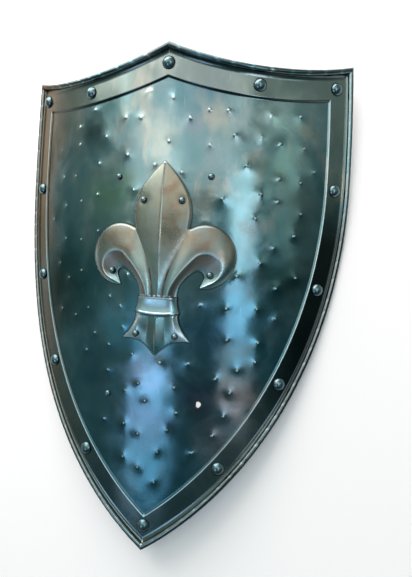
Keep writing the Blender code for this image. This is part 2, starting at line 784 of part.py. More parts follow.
def main():
    clear_scene()
    shield = collection("heater_shield")
    cutters = collection("cutters")
    rest = bpy.data.objects.new("shield_rest", None)
    shield.objects.link(rest)
    blued = material("blued_steel", (0.10, 0.20, 0.23), 0.34, 1)
    dark = material("rivet_steel", (0.16, 0.19, 0.20), 0.26, 1)
    warm = material("fleur_steel", (0.34, 0.31, 0.26), 0.36, 1)
    hide = material("strap_leather", (0.13, 0.065, 0.035), 0.62, 0)
    plate = build_plate(shield, rest, blued)
    fleur, fleur_tree = build_fleur(shield, rest, warm)
    strap = build_strap(shield, rest, hide)
    build_border_rivets(shield, rest, dark)
    for name, place, behind in strap_pins():
        build_pin(name, shield, rest, dark, place, GAP, behind)
    for name, place in fleur_pin_places():
        build_pin(name, shield, rest, dark, place, seat_height(fleur_tree, place) + GAP, SHEET)
    holes = build_hole_cutter(cutters, rest)
    for thing in (plate, fleur, strap):
        cut(thing, holes)
    things = [thing for thing in shield.objects if thing.type == "MESH"]
    lay_down(rest, things, plate, cutters)
    for thing in things:
        thing.data.shade_smooth()
        thing.data.set_sharp_from_angle(angle=math.radians(35))


main()
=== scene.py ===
"""Looks of a heater shield of bent blued steel: punched field, raised border, rolled rim and riveted
fleur-de-lis.

Places on the shield are given along the sheet before it is bent: across from the centre line, up from
the middle of the height, and high above the field's face, in metres.
"""

import math
import random

import bmesh
import bpy
import numpy as np
from bpy.props import FloatProperty, FloatVectorProperty, PointerProperty
from mathutils import Euler, Matrix, Vector, noise
from mathutils.bvhtree import BVHTree
from mathutils.geometry import delaunay_2d_cdt
from mathutils.kdtree import KDTree


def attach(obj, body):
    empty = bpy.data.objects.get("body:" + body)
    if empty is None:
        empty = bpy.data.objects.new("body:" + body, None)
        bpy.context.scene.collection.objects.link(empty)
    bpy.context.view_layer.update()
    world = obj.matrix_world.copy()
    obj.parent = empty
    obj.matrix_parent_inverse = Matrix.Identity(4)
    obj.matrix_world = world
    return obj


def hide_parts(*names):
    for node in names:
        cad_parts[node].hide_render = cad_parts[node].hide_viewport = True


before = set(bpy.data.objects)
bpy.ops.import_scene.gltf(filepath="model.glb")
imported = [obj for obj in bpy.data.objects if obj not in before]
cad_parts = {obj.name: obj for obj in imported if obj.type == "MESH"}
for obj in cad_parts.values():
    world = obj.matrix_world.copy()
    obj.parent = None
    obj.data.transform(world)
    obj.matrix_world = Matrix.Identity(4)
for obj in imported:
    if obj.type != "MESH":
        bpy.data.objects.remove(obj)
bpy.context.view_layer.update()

bl_info = {
    "name": "Heater Shield",
    "version": (1, 0, 0),
    "blender": (4, 5, 0),
    "location": "View3D > Sidebar > Shield",
    "description": "Dresses a heater shield in punched blued steel with a riveted fleur-de-lis",
    "category": "Object",
}

MM = 0.001
MERGE = 0.01 * MM

# How the shield lies: its lean about X and the place of the middle of its sheet
REST_LEAN = math.radians(6.3147489)
REST_PLACE = Vector((0, 0.57885, 58.60229)) * MM
REST = Matrix.Translation(REST_PLACE) @ Matrix.Rotation(REST_LEAN, 4, "X")

# Sheet, bend and outline
SHEET = 1.2 * MM
BEND_RADIUS = 367 * MM
HALF_WIDTH = 233 * MM
WIDEST_UP = 150 * MM
CORNER_ACROSS = 227 * MM
CORNER_UP = 297 * MM
PEAK_UP = 304 * MM
TIP_UP = -305 * MM
TOP_SAG = 23 * MM
BORDER_TOP = 36 * MM
BORDER_SIDE = 33 * MM
STEP_WIDTH = 3.4 * MM
STEP_OVER = 0.15
STEP_CRISP = 1.7
STEP_CRISP_TOP = 1.25
BORDER_RISE = 2 * MM
ROLL_RADIUS = 3.4 * MM
ROLL_LIFT = 1.2 * MM
ROLL_END = math.radians(255)
GAP = 0.3 * MM

# Nicks of the rim lean along it by this much for each radian of the roll
SLANT = 2.5 * MM

# Mesh steps of the plate
EDGE_STEPS = 48
TOP_COLUMNS = 142
SIDE_COLUMNS = 388
STEP_ROWS = 10
BORDER_ROWS = 4
ROLL_ROWS = 13
FIELD_PITCH = 6 * MM
SEAM_PITCH = 1.4 * MM

# Points of the field around a mark, as radius in mm and count, and around the hole, as shares of it
MARK_RINGS = ((0.7, 6), (1.5, 8), (2.7, 10), (4.4, 11), (6.6, 12), (9, 13))
HOLE_RINGS = (1.2, 1.5, 2, 2.7)

# Room that the other points leave free around a mark, the field's edge and the hole
MARK_CLEAR = 11 * MM
EDGE_CLEAR = 2.2 * MM
HOLE_CLEAR = 2 * MM

# The field is flat at its edge and under the fleur-de-lis, and rises over these lengths
EDGE_FADE = 9 * MM
FLEUR_BED = 0.5 * MM
FLEUR_FADE = 6 * MM
FLEUR_NEAR = 8 * MM

# Border rivets
RIVET_HEAD_RADIUS = 8 * MM
RIVET_HEAD_HIGH = 5 * MM
RIVET_SHANK_RADIUS = 2.5 * MM
RIVET_TAIL_RADIUS = 4.5 * MM
RIVET_TAIL_HIGH = 2 * MM
PEAK_RIVET_DROP = 24 * MM
TIP_RIVET_RISE = 29.5 * MM
TOP_RIVET_ACROSS = 108.8 * MM
TOP_RIVET_INSET = 21.5 * MM
CORNER_RIVET_INSET = 23 * MM
SIDE_RIVET_INSET = 20.5 * MM
SIDE_RIVET_PITCH = 123.5 * MM
SIDE_RIVETS = 4
RIVET_SIDES = 36
RIVET_UNEVEN = 0.3 * MM

# Small rivets, and the hole of the one that is lost
PIN_HEAD_RADIUS = 4.1 * MM
PIN_HEAD_HIGH = 3 * MM
PIN_SHANK_RADIUS = 2 * MM
PIN_TAIL_RADIUS = 3.6 * MM
PIN_TAIL_HIGH = 1.5 * MM
STRAP_PIN_ACROSS = 58.5 * MM
UPPER_STRAP_UP = 146.8 * MM
LOWER_STRAP_UP = -123 * MM
TORN_HOLE_RADIUS = 3 * MM
TORN_HOLE_STRETCH = 1.25
TORN_HOLE_CORNERS = 11

# Leather arm strap
STRAP_WIDTH = 38 * MM
STRAP_THICK = 3.5 * MM
STRAP_TAB_OUT = 17 * MM
STRAP_TAB_IN = 12 * MM
STRAP_LOOP_DEEP = 42 * MM
STRAP_LOOP_FLAT = 34 * MM
STRAP_LEAVE = 20 * MM
STRAP_CLIP = 6 * MM
TAB_ROWS = 14
LOOP_ROWS = 26
STRAP_COLUMNS = 8

# Fleur-de-lis
FLEUR_SHEET = 1 * MM
FLEUR_ACROSS = 2 * MM
RIDGE_HIGH = 5.2 * MM
FOLD_HIGH = 1.4 * MM
COLLAR_HIGH = 7 * MM
COLLAR_WAIST_HIGH = 6.1 * MM
FLEUR_TIP_UP = 164 * MM
FOLD_PULLS = ((7.5 * MM, 30 * MM), (21.5 * MM, 60 * MM))
RIDGE_PULLS = ((14.5 * MM, 20 * MM), (32 * MM, 39.4 * MM))
HOOK_PULLS = ((23.5 * MM, 19 * MM), (33 * MM, 27 * MM))
BLADE_PULLS = ((42 * MM, 116 * MM), (28 * MM, 138 * MM))
FOOT_PULLS = ((12 * MM, -57 * MM), (18 * MM, -48 * MM))
PETAL_EYE = (54 * MM, 52 * MM)
PETAL_RADIUS = 37.3 * MM
PETAL_START = math.radians(123)
PETAL_END = math.radians(-96.4)
RIDGE_EYE = (56 * MM, 38 * MM)
RIDGE_RADIUS = 18 * MM
RIDGE_START = math.radians(135)
RIDGE_TURN = math.radians(-60)
HOOK_EYE = (47 * MM, 27.5 * MM)
HOOK_RADIUS = 7.7 * MM
HOOK_START = math.radians(125)
HOOK_TURN = math.radians(-10)
CREST_FALL = 0.72
NECK_UP = 3.6 * MM
NECK_HALF = 23.5 * MM
NECK_FOLD = 6.5 * MM
NECK_RIDGE = 13 * MM
COLLAR_TOP_UP = 1.6 * MM
COLLAR_TOP_HALF = 24.8 * MM
COLLAR_FOOT_UP = -16.5 * MM
COLLAR_FOOT_HALF = 28 * MM
COLLAR_BOW = 2.5 * MM
COLLAR_WAIST = 1 * MM
COLLAR_LIP = 1.5 * MM
COLLAR_STEP = 0.6 * MM
FOOT_TOP_UP = -19.5 * MM
FOOT_TOP_HALF = 26.5 * MM
FOOT_TIP = (42.5 * MM, -49.8 * MM)
FOOT_POINT_UP = -69.2 * MM
FOOT_FLARE = 1.8
FOOT_VALLEY = 0.28
RIB_HALF = 0.8 * MM
RIB_HIGH = 0.5 * MM

# Its rivets beside its own centre line, and the dents around the upper ones
FLEUR_PINS = ((23.7 * MM, 117.3 * MM), (61.6 * MM, 30.7 * MM), (24.4 * MM, -43.9 * MM))
DENT_DEEP = 0.9 * MM
DENT_REACH = 7 * MM

# Width of the painted shadow in the seam around it, and how far it reaches to either side
SEAM_SHADOW_WIDE = 2.4 * MM
FLEUR_REACH = 98 * MM

# Mesh steps of the fleur-de-lis
FOLD_ROWS = 26
CURL_ROWS = 70
BLADE_ROWS = 30
COLLAR_ROWS = 8
FOOT_ROWS = 22
PETAL_COLUMNS = 14
OUTER_COLUMNS = 12
INNER_COLUMNS = 10

# Places of the marks punched through the field from behind, in mm across and up
PUNCHED = (
    (-24, 249), (8, 239), (-102, 235), (161, 226), (52, 225), (74, 225), (125, 223), (-53, 219), (-32, 217),
    (-128, 216), (30, 215), (-81, 198), (83, 197), (115, 196), (-126, 193), (138, 191), (168, 189), (5, 188),
    (55, 184), (-48, 173), (-90, 165), (183, 163), (99, 162), (-11, 160), (-156, 154), (-132, 153), (23, 151),
    (139, 150), (166, 148), (-37, 130), (118, 130), (-91, 126), (139, 123), (73, 122), (-118, 119),
    (-148, 115), (169, 111), (113, 101), (-176, 98), (55, 90), (162, 84), (-87, 80), (-145, 71), (-115, 69),
    (137, 68), (122, 49), (-155, 38), (167, 34), (95, 32), (-111, 29), (-39, 27), (143, 20), (-134, 19),
    (-63, -1), (54, -4), (121, -6), (85, -7), (-47, -12), (144, -16), (-96, -18), (-145, -23), (-117, -29),
    (-42, -37), (88, -44), (125, -46), (-83, -49), (-61, -61), (123, -69), (-27, -70), (-95, -72), (43, -75),
    (9, -77), (102, -80), (77, -91), (-60, -93), (-17, -105), (28, -105), (95, -107), (-34, -115), (-7, -125),
    (32, -135), (89, -135), (-62, -155), (-33, -156), (22, -157), (77, -159), (-14, -166), (54, -181),
    (12, -185), (-32, -197), (-12, -207), (10, -222),
)

# Stains of the field: across and up in mm, reach in mm, share and colour
STAINS = (
    (-108, 205, 26, 0.85, (0.02, 0.045, 0.05)),
    (-72, 118, 42, 0.75, (0.12, 0.25, 0.15)),
    (-132, 30, 110, 0.95, (0.004, 0.062, 0.075)),
    (-160, -5, 66, 0.85, (0.007, 0.024, 0.022)),
    (-165, 238, 48, 0.55, (0.30, 0.265, 0.22)),
    (-88, -78, 66, 0.75, (0.02, 0.09, 0.125)),
    (64, -35, 42, 0.7, (0.01, 0.10, 0.19)),
    (57, -116, 36, 0.7, (0.075, 0.06, 0.095)),
    (112, -112, 32, 0.7, (0.26, 0.19, 0.155)),
    (88, -165, 48, 0.8, (0.25, 0.245, 0.26)),
    (-12, -140, 40, 0.35, (0.17, 0.17, 0.25)),
    (-9, -90, 24, 0.55, (0.24, 0.30, 0.40)),
    (-46, -36, 40, 0.8, (0.10, 0.32, 0.42)),
    (140, 170, 40, 0.45, (0.15, 0.25, 0.19)),
    (163, 108, 60, 0.75, (0.035, 0.08, 0.078)),
    (158, 30, 66, 0.75, (0.02, 0.055, 0.055)),
    (124, 226, 40, 0.65, (0.40, 0.52, 0.52)),
    (42, 252, 62, 0.8, (0.075, 0.15, 0.19)),
    (40, 203, 12, 0.5, (0.27, 0.24, 0.29)),
    (62, 214, 16, 0.6, (0.40, 0.37, 0.30)),
    (-13, 195, 26, 0.45, (0.38, 0.37, 0.31)),
)

# How far their edges wander, how far beyond its reach a stain begins to show, and where it is full
STAIN_WOBBLE = 80 * MM
STAIN_FADE = 55 * MM
STAIN_CORE = 30 * MM

# Shades of small marks and of painted shade, and the steel's tint where it is seen at a slant
SPECK_SHADE = (0.02, 0.04, 0.045)
FINE_DIRT_SHADE = (0.05, 0.05, 0.045)
# Painted shade in the folds of the fleur-de-lis and under its collar
FOLD_PAINTED_SHADE = (0.018, 0.015, 0.012)
RIVET_DIRT_SHADE = (0.03, 0.03, 0.03)
# Painted shade at the foot of each rivet's head
RIVET_FOOT_PAINTED_SHADE = (0.015, 0.02, 0.02)
LEATHER_DARK_SHADE = (0.06, 0.028, 0.015)
CREASE_SHADE = (0.03, 0.015, 0.01)
GRAZING_TINT = (0.6, 0.5, 0.4)


# Settings that a user may change


def length_setting(name, description, default):
    """Setting of a length, given in mm."""
    return FloatProperty(name=name, description=description, default=default * MM, unit="LENGTH", precision=5)


def colour_setting(name, description, default):
    return FloatVectorProperty(name=name, description=description, default=default, subtype="COLOR")


class SheetSettings(bpy.types.PropertyGroup):
    """Marks of the work on the shield's sheet."""

    mound_high: length_setting("Mound height", "Height of the mound around a punched mark", 1.0)
    mound_reach: length_setting("Mound reach", "Radius of the mound around a punched mark", 15)
    point_high: length_setting("Point height", "Height of a punched mark's sharp point", 0.55)
    point_reach: length_setting("Point reach", "Radius of a punched mark's sharp point", 2.6)
    unevenness: length_setting("Unevenness", "Height of the hammered waves in the field", 0.36)
    nick_deep: length_setting("Nick depth", "Depth of the slanting nicks in the rim", 0.32)
    nick_wide: length_setting("Nick width", "Half width of a nick in the rim", 1.7)


class ColourSettings(bpy.types.PropertyGroup):
    """Colours of the metals, the leather and the floor."""

    blued: colour_setting("Blued steel", "Main colour of the plate", (0.15, 0.25, 0.27))
    deep: colour_setting("Deep blue", "Colour of the plate's darker clouds", (0.055, 0.16, 0.185))
    pale: colour_setting("Pale steel", "Colour where the bluing is thin", (0.29, 0.335, 0.34))
    teal: colour_setting("Teal", "Colour of the plate's lower half", (0.062, 0.178, 0.218))
    cream: colour_setting("Cream", "Colour of the plate's pale stains", (0.36, 0.345, 0.30))
    straw: colour_setting("Straw brown", "Warm colour at the plate's left edge", (0.085, 0.063, 0.04))
    olive: colour_setting("Olive", "Colour of the border's lower half", (0.155, 0.17, 0.155))
    warm: colour_setting("Warm grey", "Colour of the border's upper end", (0.26, 0.245, 0.20))
    # This colour darkens the middle of the right border
    right_border_dark: colour_setting("Smoke", "Colour of the smoked part of the right border", (0.012, 0.018, 0.017))
    # This colour is painted shade along the step at the top, over the rim and in the seam around the
    # fleur-de-lis
    painted_shade: colour_setting("Grime", "Colour of the dirt in seams and folds", (0.03, 0.04, 0.045))
    # This colour is also painted highlight along the step, the rim and the ridges and edges of the
    # fleur-de-lis
    bright: colour_setting("Worn steel", "Colour of worn points and edges", (0.55, 0.66, 0.70))
    fleur: colour_setting("Fleur-de-lis", "Main colour of the fleur-de-lis", (0.24, 0.222, 0.168))
    fleur_green: colour_setting("Fleur-de-lis, green", "Colour of its left side", (0.24, 0.30, 0.26))
    fleur_brown: colour_setting("Fleur-de-lis, brown", "Colour of its side petals", (0.12, 0.10, 0.075))
    # This colour is partly a painted blue reflection on the collar, the foot and the hooks
    fleur_cool: colour_setting("Fleur-de-lis, cool", "Colour of its collar and hooks", (0.20, 0.40, 0.44))
    fleur_foot: colour_setting("Fleur-de-lis, foot", "Colour of its foot", (0.13, 0.27, 0.26))
    # This colour is brown patina in the hollows beside the ridges, and painted shade in the folds, the dents
    # and around the collar
    hollow: colour_setting("Hollows", "Colour of the hollows beside its ridges", (0.09, 0.065, 0.05))
    copper: colour_setting("Copper stains", "Colour of the stains on the fleur-de-lis", (0.17, 0.10, 0.062))
    rivet: colour_setting("Rivets", "Colour of the rivets", (0.15, 0.19, 0.20))
    leather: colour_setting("Leather", "Colour of the arm strap", (0.13, 0.065, 0.035))
    leather_worn: colour_setting("Worn leather", "Colour of the arm strap's edges", (0.3, 0.17, 0.09))
    floor: colour_setting("Floor", "Colour of the floor", (0.95, 0.90, 0.885))


class StageSettings(bpy.types.PropertyGroup):
    """Camera and light."""

    camera_place: FloatVectorProperty(name="Camera place", description="In the shield's own frame",
                                      subtype="TRANSLATION", default=(0.16229, 0.02467, 0.45612))
    camera_turn: FloatVectorProperty(name="Camera turn", description="In the shield's own frame",
                                     subtype="EULER",
                                     default=tuple(math.radians(angle) for angle in (-0.371, 12.620, 3.439)))
    focal_share: FloatProperty(name="Focal share", description="Focal length over the picture's long side",
                               default=400 / 577)
    light: FloatProperty(name="Light", description="Strength of all lamps together", default=1.0)
    room_high: colour_setting("Room, high", "Light of the room beyond the shield's peak", (0.36, 0.44, 0.40))
    room_low: colour_setting("Room, low", "Light of the room beyond the shield's tip", (0.065, 0.13, 0.14))
    horizon: colour_setting("Horizon", "Light of the room's pale walls", (0.70, 0.70, 0.69))


class ShieldSettings(bpy.types.PropertyGroup):
    """All settings of the shield."""

    sheet: PointerProperty(type=SheetSettings)
    colours: PointerProperty(type=ColourSettings)
    stage: PointerProperty(type=StageSettings)


# Places on the bent sheet


def bend(across, up, high):
    """Place of a point of the flat sheet once the sheet is bent around its centre line."""
    angle = across / BEND_RADIUS
    radius = BEND_RADIUS + high
    return Vector((radius * math.sin(angle), up, radius * math.cos(angle) - BEND_RADIUS))


def seat(across, up, high):
    """Matrix that stands a thing on the lying sheet, its +Z along the sheet's outward normal."""
    turn = Matrix.Rotation(across / BEND_RADIUS, 4, "Y")
    return REST @ Matrix.Translation(bend(across, up, high)) @ turn


def arc(centre, radius, start, end, count):
    angles = [start + (end - start) * i / count for i in range(count + 1)]
    return [(centre[0] + radius * math.cos(a), centre[1] + radius * math.sin(a)) for a in angles]


def bezier(points, share):
    """Point of a Bezier curve at a share of its parameter, by repeated division."""
    row = [Vector(point) for point in points]
    while len(row) > 1:
        row = [a.lerp(b, share) for a, b in zip(row, row[1:])]
    return tuple(row[0])


def bezier_path(points, count):
    return [bezier(points, i / count) for i in range(count + 1)]


def lengths_along(path):
    total = [0.0]
    for a, b in zip(path, path[1:]):
        total.append(total[-1] + math.dist(a, b))
    return total


def points_at(path, distances):
    """Points of a polyline at distances along it."""
    total = lengths_along(path)
    return list(zip(*(np.interp(distances, total, [point[axis] for point in path]) for axis in (0, 1))))


def evenly(path, count):
    """Points that divide a polyline into equal lengths."""
    return points_at(path, np.linspace(0, lengths_along(path)[-1], count + 1))


def spaced(start, end, count):
    return [start + (end - start) * i / count for i in range(count + 1)]


def ease(share):
    """Rises from 0 to 1 with level ends."""
    share = max(0, min(1, share))
    return share * share * (3 - 2 * share)


def top_edge():
    """From the peak to the right corner, an arc that sags towards the field."""
    peak = Vector((0, PEAK_UP))
    corner = Vector((CORNER_ACROSS, CORNER_UP))
    chord = (corner - peak).length
    radius = (chord ** 2 / 4 + TOP_SAG ** 2) / (2 * TOP_SAG)
    along = (corner - peak) / chord
    centre = (peak + corner) / 2 + Vector((-along.y, along.x)) * (radius - TOP_SAG)
    start = math.atan2(peak.y - centre.y, peak.x - centre.x)
    end = math.atan2(corner.y - centre.y, corner.x - centre.x)
    return arc(centre, radius, start, end, EDGE_STEPS)


def side_edge(across, up):
    """From the widest place to the corner or the tip, an arc that starts parallel to the centre line."""
    inward = HALF_WIDTH - across
    rise = up - WIDEST_UP
    radius = (rise ** 2 + inward ** 2) / (2 * inward)
    return arc((HALF_WIDTH - radius, WIDEST_UP), radius, 0, math.asin(rise / radius), EDGE_STEPS)


def moved_inwards(path, distance):
    """A polyline that runs clockwise, moved towards the field by a distance."""
    moved = []
    for i, (across, up) in enumerate(path):
        before, after = path[max(0, i - 1)], path[min(len(path) - 1, i + 1)]
        length = math.dist(before, after)
        moved.append((across + (after[1] - before[1]) / length * distance,
                      up - (after[0] - before[0]) / length * distance))
    return moved


def crossing(first, second):
    """Where two polylines cross: the point, and the number of the segment on each."""
    for i, (a, b) in enumerate(zip(first, first[1:])):
        for j, (c, d) in enumerate(zip(second, second[1:])):
            turn = (b[0] - a[0]) * (d[1] - c[1]) - (b[1] - a[1]) * (d[0] - c[0])
            if abs(turn) < 1e-15:
                continue
            along_a = ((c[0] - a[0]) * (d[1] - c[1]) - (c[1] - a[1]) * (d[0] - c[0])) / turn
            along_c = ((c[0] - a[0]) * (b[1] - a[1]) - (c[1] - a[1]) * (b[0] - a[0])) / turn
            if -1e-9 <= along_a <= 1 + 1e-9 and -1e-9 <= along_c <= 1 + 1e-9:
                return (a[0] + (b[0] - a[0]) * along_a, a[1] + (b[1] - a[1]) * along_a), i, j
    raise ValueError("the outline's edges don't meet: its inset is too large")


def right_edges(top_inset, side_inset):
    """Top edge and side edge of the right half, moved inwards, from the peak to the corner to the tip."""
    shoulder = side_edge(CORNER_ACROSS, CORNER_UP)[::-1]
    top = moved_inwards(top_edge(), top_inset)
    side = moved_inwards(shoulder[:-1] + side_edge(0, TIP_UP), side_inset)
    middle = [(0, PEAK_UP), (0, TIP_UP)]
    peak, start, _ = crossing(top, middle)
    top = [peak] + top[start + 1:]
    tip, end, _ = crossing(side, middle)
    side = side[:end + 1] + [tip]
    corner, top_end, side_start = crossing(top, side)
    return top[:top_end + 1] + [corner], [corner] + side[side_start + 1:]


def ring(top_inset, side_inset):
    """Closed line around the shield, clockwise from the peak, at its distances from the outline."""
    top, side = right_edges(top_inset, side_inset)
    right = evenly(top, TOP_COLUMNS)[:-1] + evenly(side, SIDE_COLUMNS)
    return right + [(-across, up) for across, up in right[-2:0:-1]]


# Meshes


def strip_faces(rows, columns, first=0, closed=False):
    """Quads of a grid of points given row by row."""
    faces = []
    for row in range(rows - 1):
        for column in range(columns if closed else columns - 1):
            beside = (column + 1) % columns
            low = first + row * columns
            high = low + columns
            faces.append((low + column, low + beside, high + beside, high + column))
    return faces


def linked(name, data):
    """New object in the scene."""
    made = bpy.data.objects.new(name, data)
    bpy.context.scene.collection.objects.link(made)
    return made


def smooth_piece(name, form):
    """Smoothly shaded object of a form, which is used up."""
    data = bpy.data.meshes.new(name)
    form.to_mesh(data)
    form.free()
    data.shade_smooth()
    return linked(name, data)


def sheet_mesh(name, points, faces):
    """Piece laid out along the sheet, then bent and laid down.

    A point is its across, up, high and how worn it is, with the light or shade painted there. The mesh keeps
    them for the finish.
    """
    form = bmesh.new()
    place_layer = form.verts.layers.float_vector.new("sheet")
    # This layer holds wear together with painted highlights and painted shade
    wear_and_shading_layer = form.verts.layers.float.new("wear_and_shading")
    corners = []
    for across, up, high, wear_and_shading in points:
        corner = form.verts.new(REST @ bend(across, up, high))
        corner[place_layer] = (across, up, high)
        corner[wear_and_shading_layer] = wear_and_shading
        corners.append(corner)
    for face in faces:
        form.faces.new([corners[i] for i in face])
    bmesh.ops.delete(form, geom=[corner for corner in form.verts if not corner.link_faces], context="VERTS")
    bmesh.ops.remove_doubles(form, verts=form.verts, dist=MERGE)
    bmesh.ops.dissolve_degenerate(form, edges=form.edges, dist=MERGE)
    return smooth_piece(name, form)


def solidify(piece, thickness):
    shell = piece.modifiers.new("sheet", "SOLIDIFY")
    shell.thickness = thickness
    shell.offset = -1


def soften(piece, width, angle):
    """Small round edges."""
    bevel = piece.modifiers.new("edges", "BEVEL")
    bevel.width = width
    bevel.segments = 2
    bevel.limit_method = "ANGLE"
    bevel.angle_limit = math.radians(angle)


def dress(piece, surface, slot, *nodes):
    """Gives a piece its finish and its body, and lets it stand for the nodes it replaces."""
    piece.data.materials.append(surface)
    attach(piece, "root")
    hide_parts(*nodes)


# Fleur-de-lis


def curl_paths():
    """Stations along a side petal, each with its outer edge, ridge and inner edge, and their shares."""
    outer_start = (PETAL_EYE[0] + PETAL_RADIUS * math.cos(PETAL_START),
                   PETAL_EYE[1] + PETAL_RADIUS * math.sin(PETAL_START))
    fold = bezier_path([(NECK_FOLD, NECK_UP), *FOLD_PULLS, outer_start], FOLD_ROWS)
    outer = fold + arc(PETAL_EYE, PETAL_RADIUS, PETAL_START, PETAL_END, CURL_ROWS)[1:]
    ridge_curl = arc(RIDGE_EYE, RIDGE_RADIUS, RIDGE_START, RIDGE_TURN, CURL_ROWS)
    ridge = bezier_path([(NECK_RIDGE, NECK_UP), *RIDGE_PULLS, ridge_curl[0]], FOLD_ROWS)[:-1] + ridge_curl
    hook_curl = arc(HOOK_EYE, HOOK_RADIUS, HOOK_START, HOOK_TURN, CURL_ROWS)
    inner = bezier_path([(NECK_HALF, NECK_UP), *HOOK_PULLS, hook_curl[0]], FOLD_ROWS)[:-1] + hook_curl
    along = lengths_along(outer)
    shares = np.array(along) / along[-1]
    ridge.append(outer[-1])
    inner.append(outer[-1])
    ridge_points = points_at(ridge, shares * lengths_along(ridge)[-1])
    inner_points = points_at(inner, shares * lengths_along(inner)[-1])
    return list(zip(outer, ridge_points, inner_points)), shares


def side_petal():
    """Rows of points along a side petal, from its neck to the tip of its hook."""
    stations, shares = curl_paths()
    pinch = shares[FOLD_ROWS]
    rows = []
    for (outer, ridge, inner), share in zip(stations, shares):
        fold = FOLD_HIGH * (1 - ease(share / pinch))
        crest = RIDGE_HIGH * (1 - max(0, (share - CREST_FALL) / (1 - CREST_FALL)) ** 2)
        edge = 0.45 if share > pinch else 0
        row = []
        for across in spaced(0, 1, OUTER_COLUMNS):
            place = Vector(outer).lerp(Vector(ridge), across)
            # Painted highlights along the ridge and, past the neck, along the outer edge; painted shade in
            # the folds near the neck
            wear_and_shading = max(across ** 14, edge * (1 - across) ** 14) - fold / FOLD_HIGH * (1 - across) ** 4
            row.append((*place, fold + (crest - fold) * (1 - (1 - across) ** 1.85), wear_and_shading))
        hook = ease((share - 0.68) / 0.22)
        for across in spaced(0, 1, INNER_COLUMNS)[1:]:
            place = Vector(ridge).lerp(Vector(inner), across)
            # Brown patina in the hollow beside the ridge, with painted shade near the neck, and a painted
            # highlight on the hook and the inner edge
            dull = (1 - hook) * (1 - 0.8 * share) * math.sin(math.pi * across ** 0.6)
            wear_and_shading = max(0.4 * across ** 14, 0.3 * hook) - dull
            row.append((*place, crest * (1 - across) ** 1.5, wear_and_shading))
        rows.append(row)
    return rows


def petal_shares():
    """Columns of half the centre petal, closer together beside its ridge."""
    return [share ** 1.6 for share in spaced(0, 1, PETAL_COLUMNS)]


def centre_petal():
    """Rows of points across the right half of the centre petal, from the neck to its point."""
    stations, _ = curl_paths()
    pinch = stations[FOLD_ROWS][0]
    blade = bezier_path([pinch, *BLADE_PULLS, (0, FLEUR_TIP_UP)], BLADE_ROWS)
    edge = [station[0] for station in stations[:FOLD_ROWS]] + blade
    rows = []
    for i, (across, up) in enumerate(edge):
        fold = FOLD_HIGH * (1 - ease(i / FOLD_ROWS))
        rise = max(0, (up - pinch[1]) / (FLEUR_TIP_UP - pinch[1]))
        crest = RIDGE_HIGH * (1 - rise ** 3)
        row = []
        edge_highlight = 0.45 if i > FOLD_ROWS else 0
        for share in petal_shares():
            # Painted highlights along the centre rib and, past the neck, along the outer edge; painted shade
            # in the folds near the neck
            rib = max(0, 1 - across * share / RIB_HALF)
            wear_and_shading = max(rib, edge_highlight * share ** 14) - fold / FOLD_HIGH * share ** 4
            high = fold + (crest - fold) * (1 - share) ** 0.84 + RIB_HIGH * rib
            row.append((across * share, up, high, wear_and_shading))
        rows.append(row)
    return rows


def neck_shares():
    """Columns of the neck as shares of its half width, from the middle to the edge."""
    fold, ridge = NECK_FOLD / NECK_HALF, NECK_RIDGE / NECK_HALF
    centre = [fold * share for share in petal_shares()]
    return centre + spaced(fold, ridge, OUTER_COLUMNS)[1:] + spaced(ridge, 1, INNER_COLUMNS)[1:]


def neck_heights():
    """Heights across the neck, where the petals go under the collar."""
    return [place[2] for place in centre_petal()[0]] + [place[2] for place in side_petal()[0]][1:]


def collar_rows(shares):
    """Rows across the right half of the collar: a flat lip at each end and a hollow band between them."""
    rows = [[(NECK_HALF * share, NECK_UP, high, 0.0) for share, high in zip(shares, neck_heights())]]
    span = COLLAR_TOP_UP - COLLAR_FOOT_UP
    start = COLLAR_LIP + COLLAR_STEP
    waist = COLLAR_WAIST_HIGH / COLLAR_HIGH
    # Each step is its distance down, its height as a share, and its painted light: highlights on the lips and
    # the band, and painted shade where the wall meets the petals and the foot
    profile = [(0, 0.75, -1.5), (0, 1, 0.6), (COLLAR_LIP, 1, 0.6)]
    profile += [(start + (span - 2 * start) * step, waist + 0.06 - 0.1 * math.sin(math.pi * step), 0.5)
                for step in spaced(0, 1, COLLAR_ROWS)]
    profile += [(span - COLLAR_LIP, 1, 0.6), (span, 1, 0.6), (span, 0.75, -1.5)]
    for down, level, wear_and_shading in profile:
        along = down / span
        half = COLLAR_TOP_HALF + (COLLAR_FOOT_HALF - COLLAR_TOP_HALF) * along
        half -= COLLAR_WAIST * math.sin(math.pi * along)
        bow = COLLAR_BOW * along
        # Painted shade towards the collar's ends, where it wraps around
        rows.append([(half * share, COLLAR_TOP_UP - down - bow * (1 - share ** 2),
                      COLLAR_HIGH * level * (1 - share ** 6), wear_and_shading - 1.1 * ease((share - 0.7) / 0.3))
                     for share in shares])
    return rows


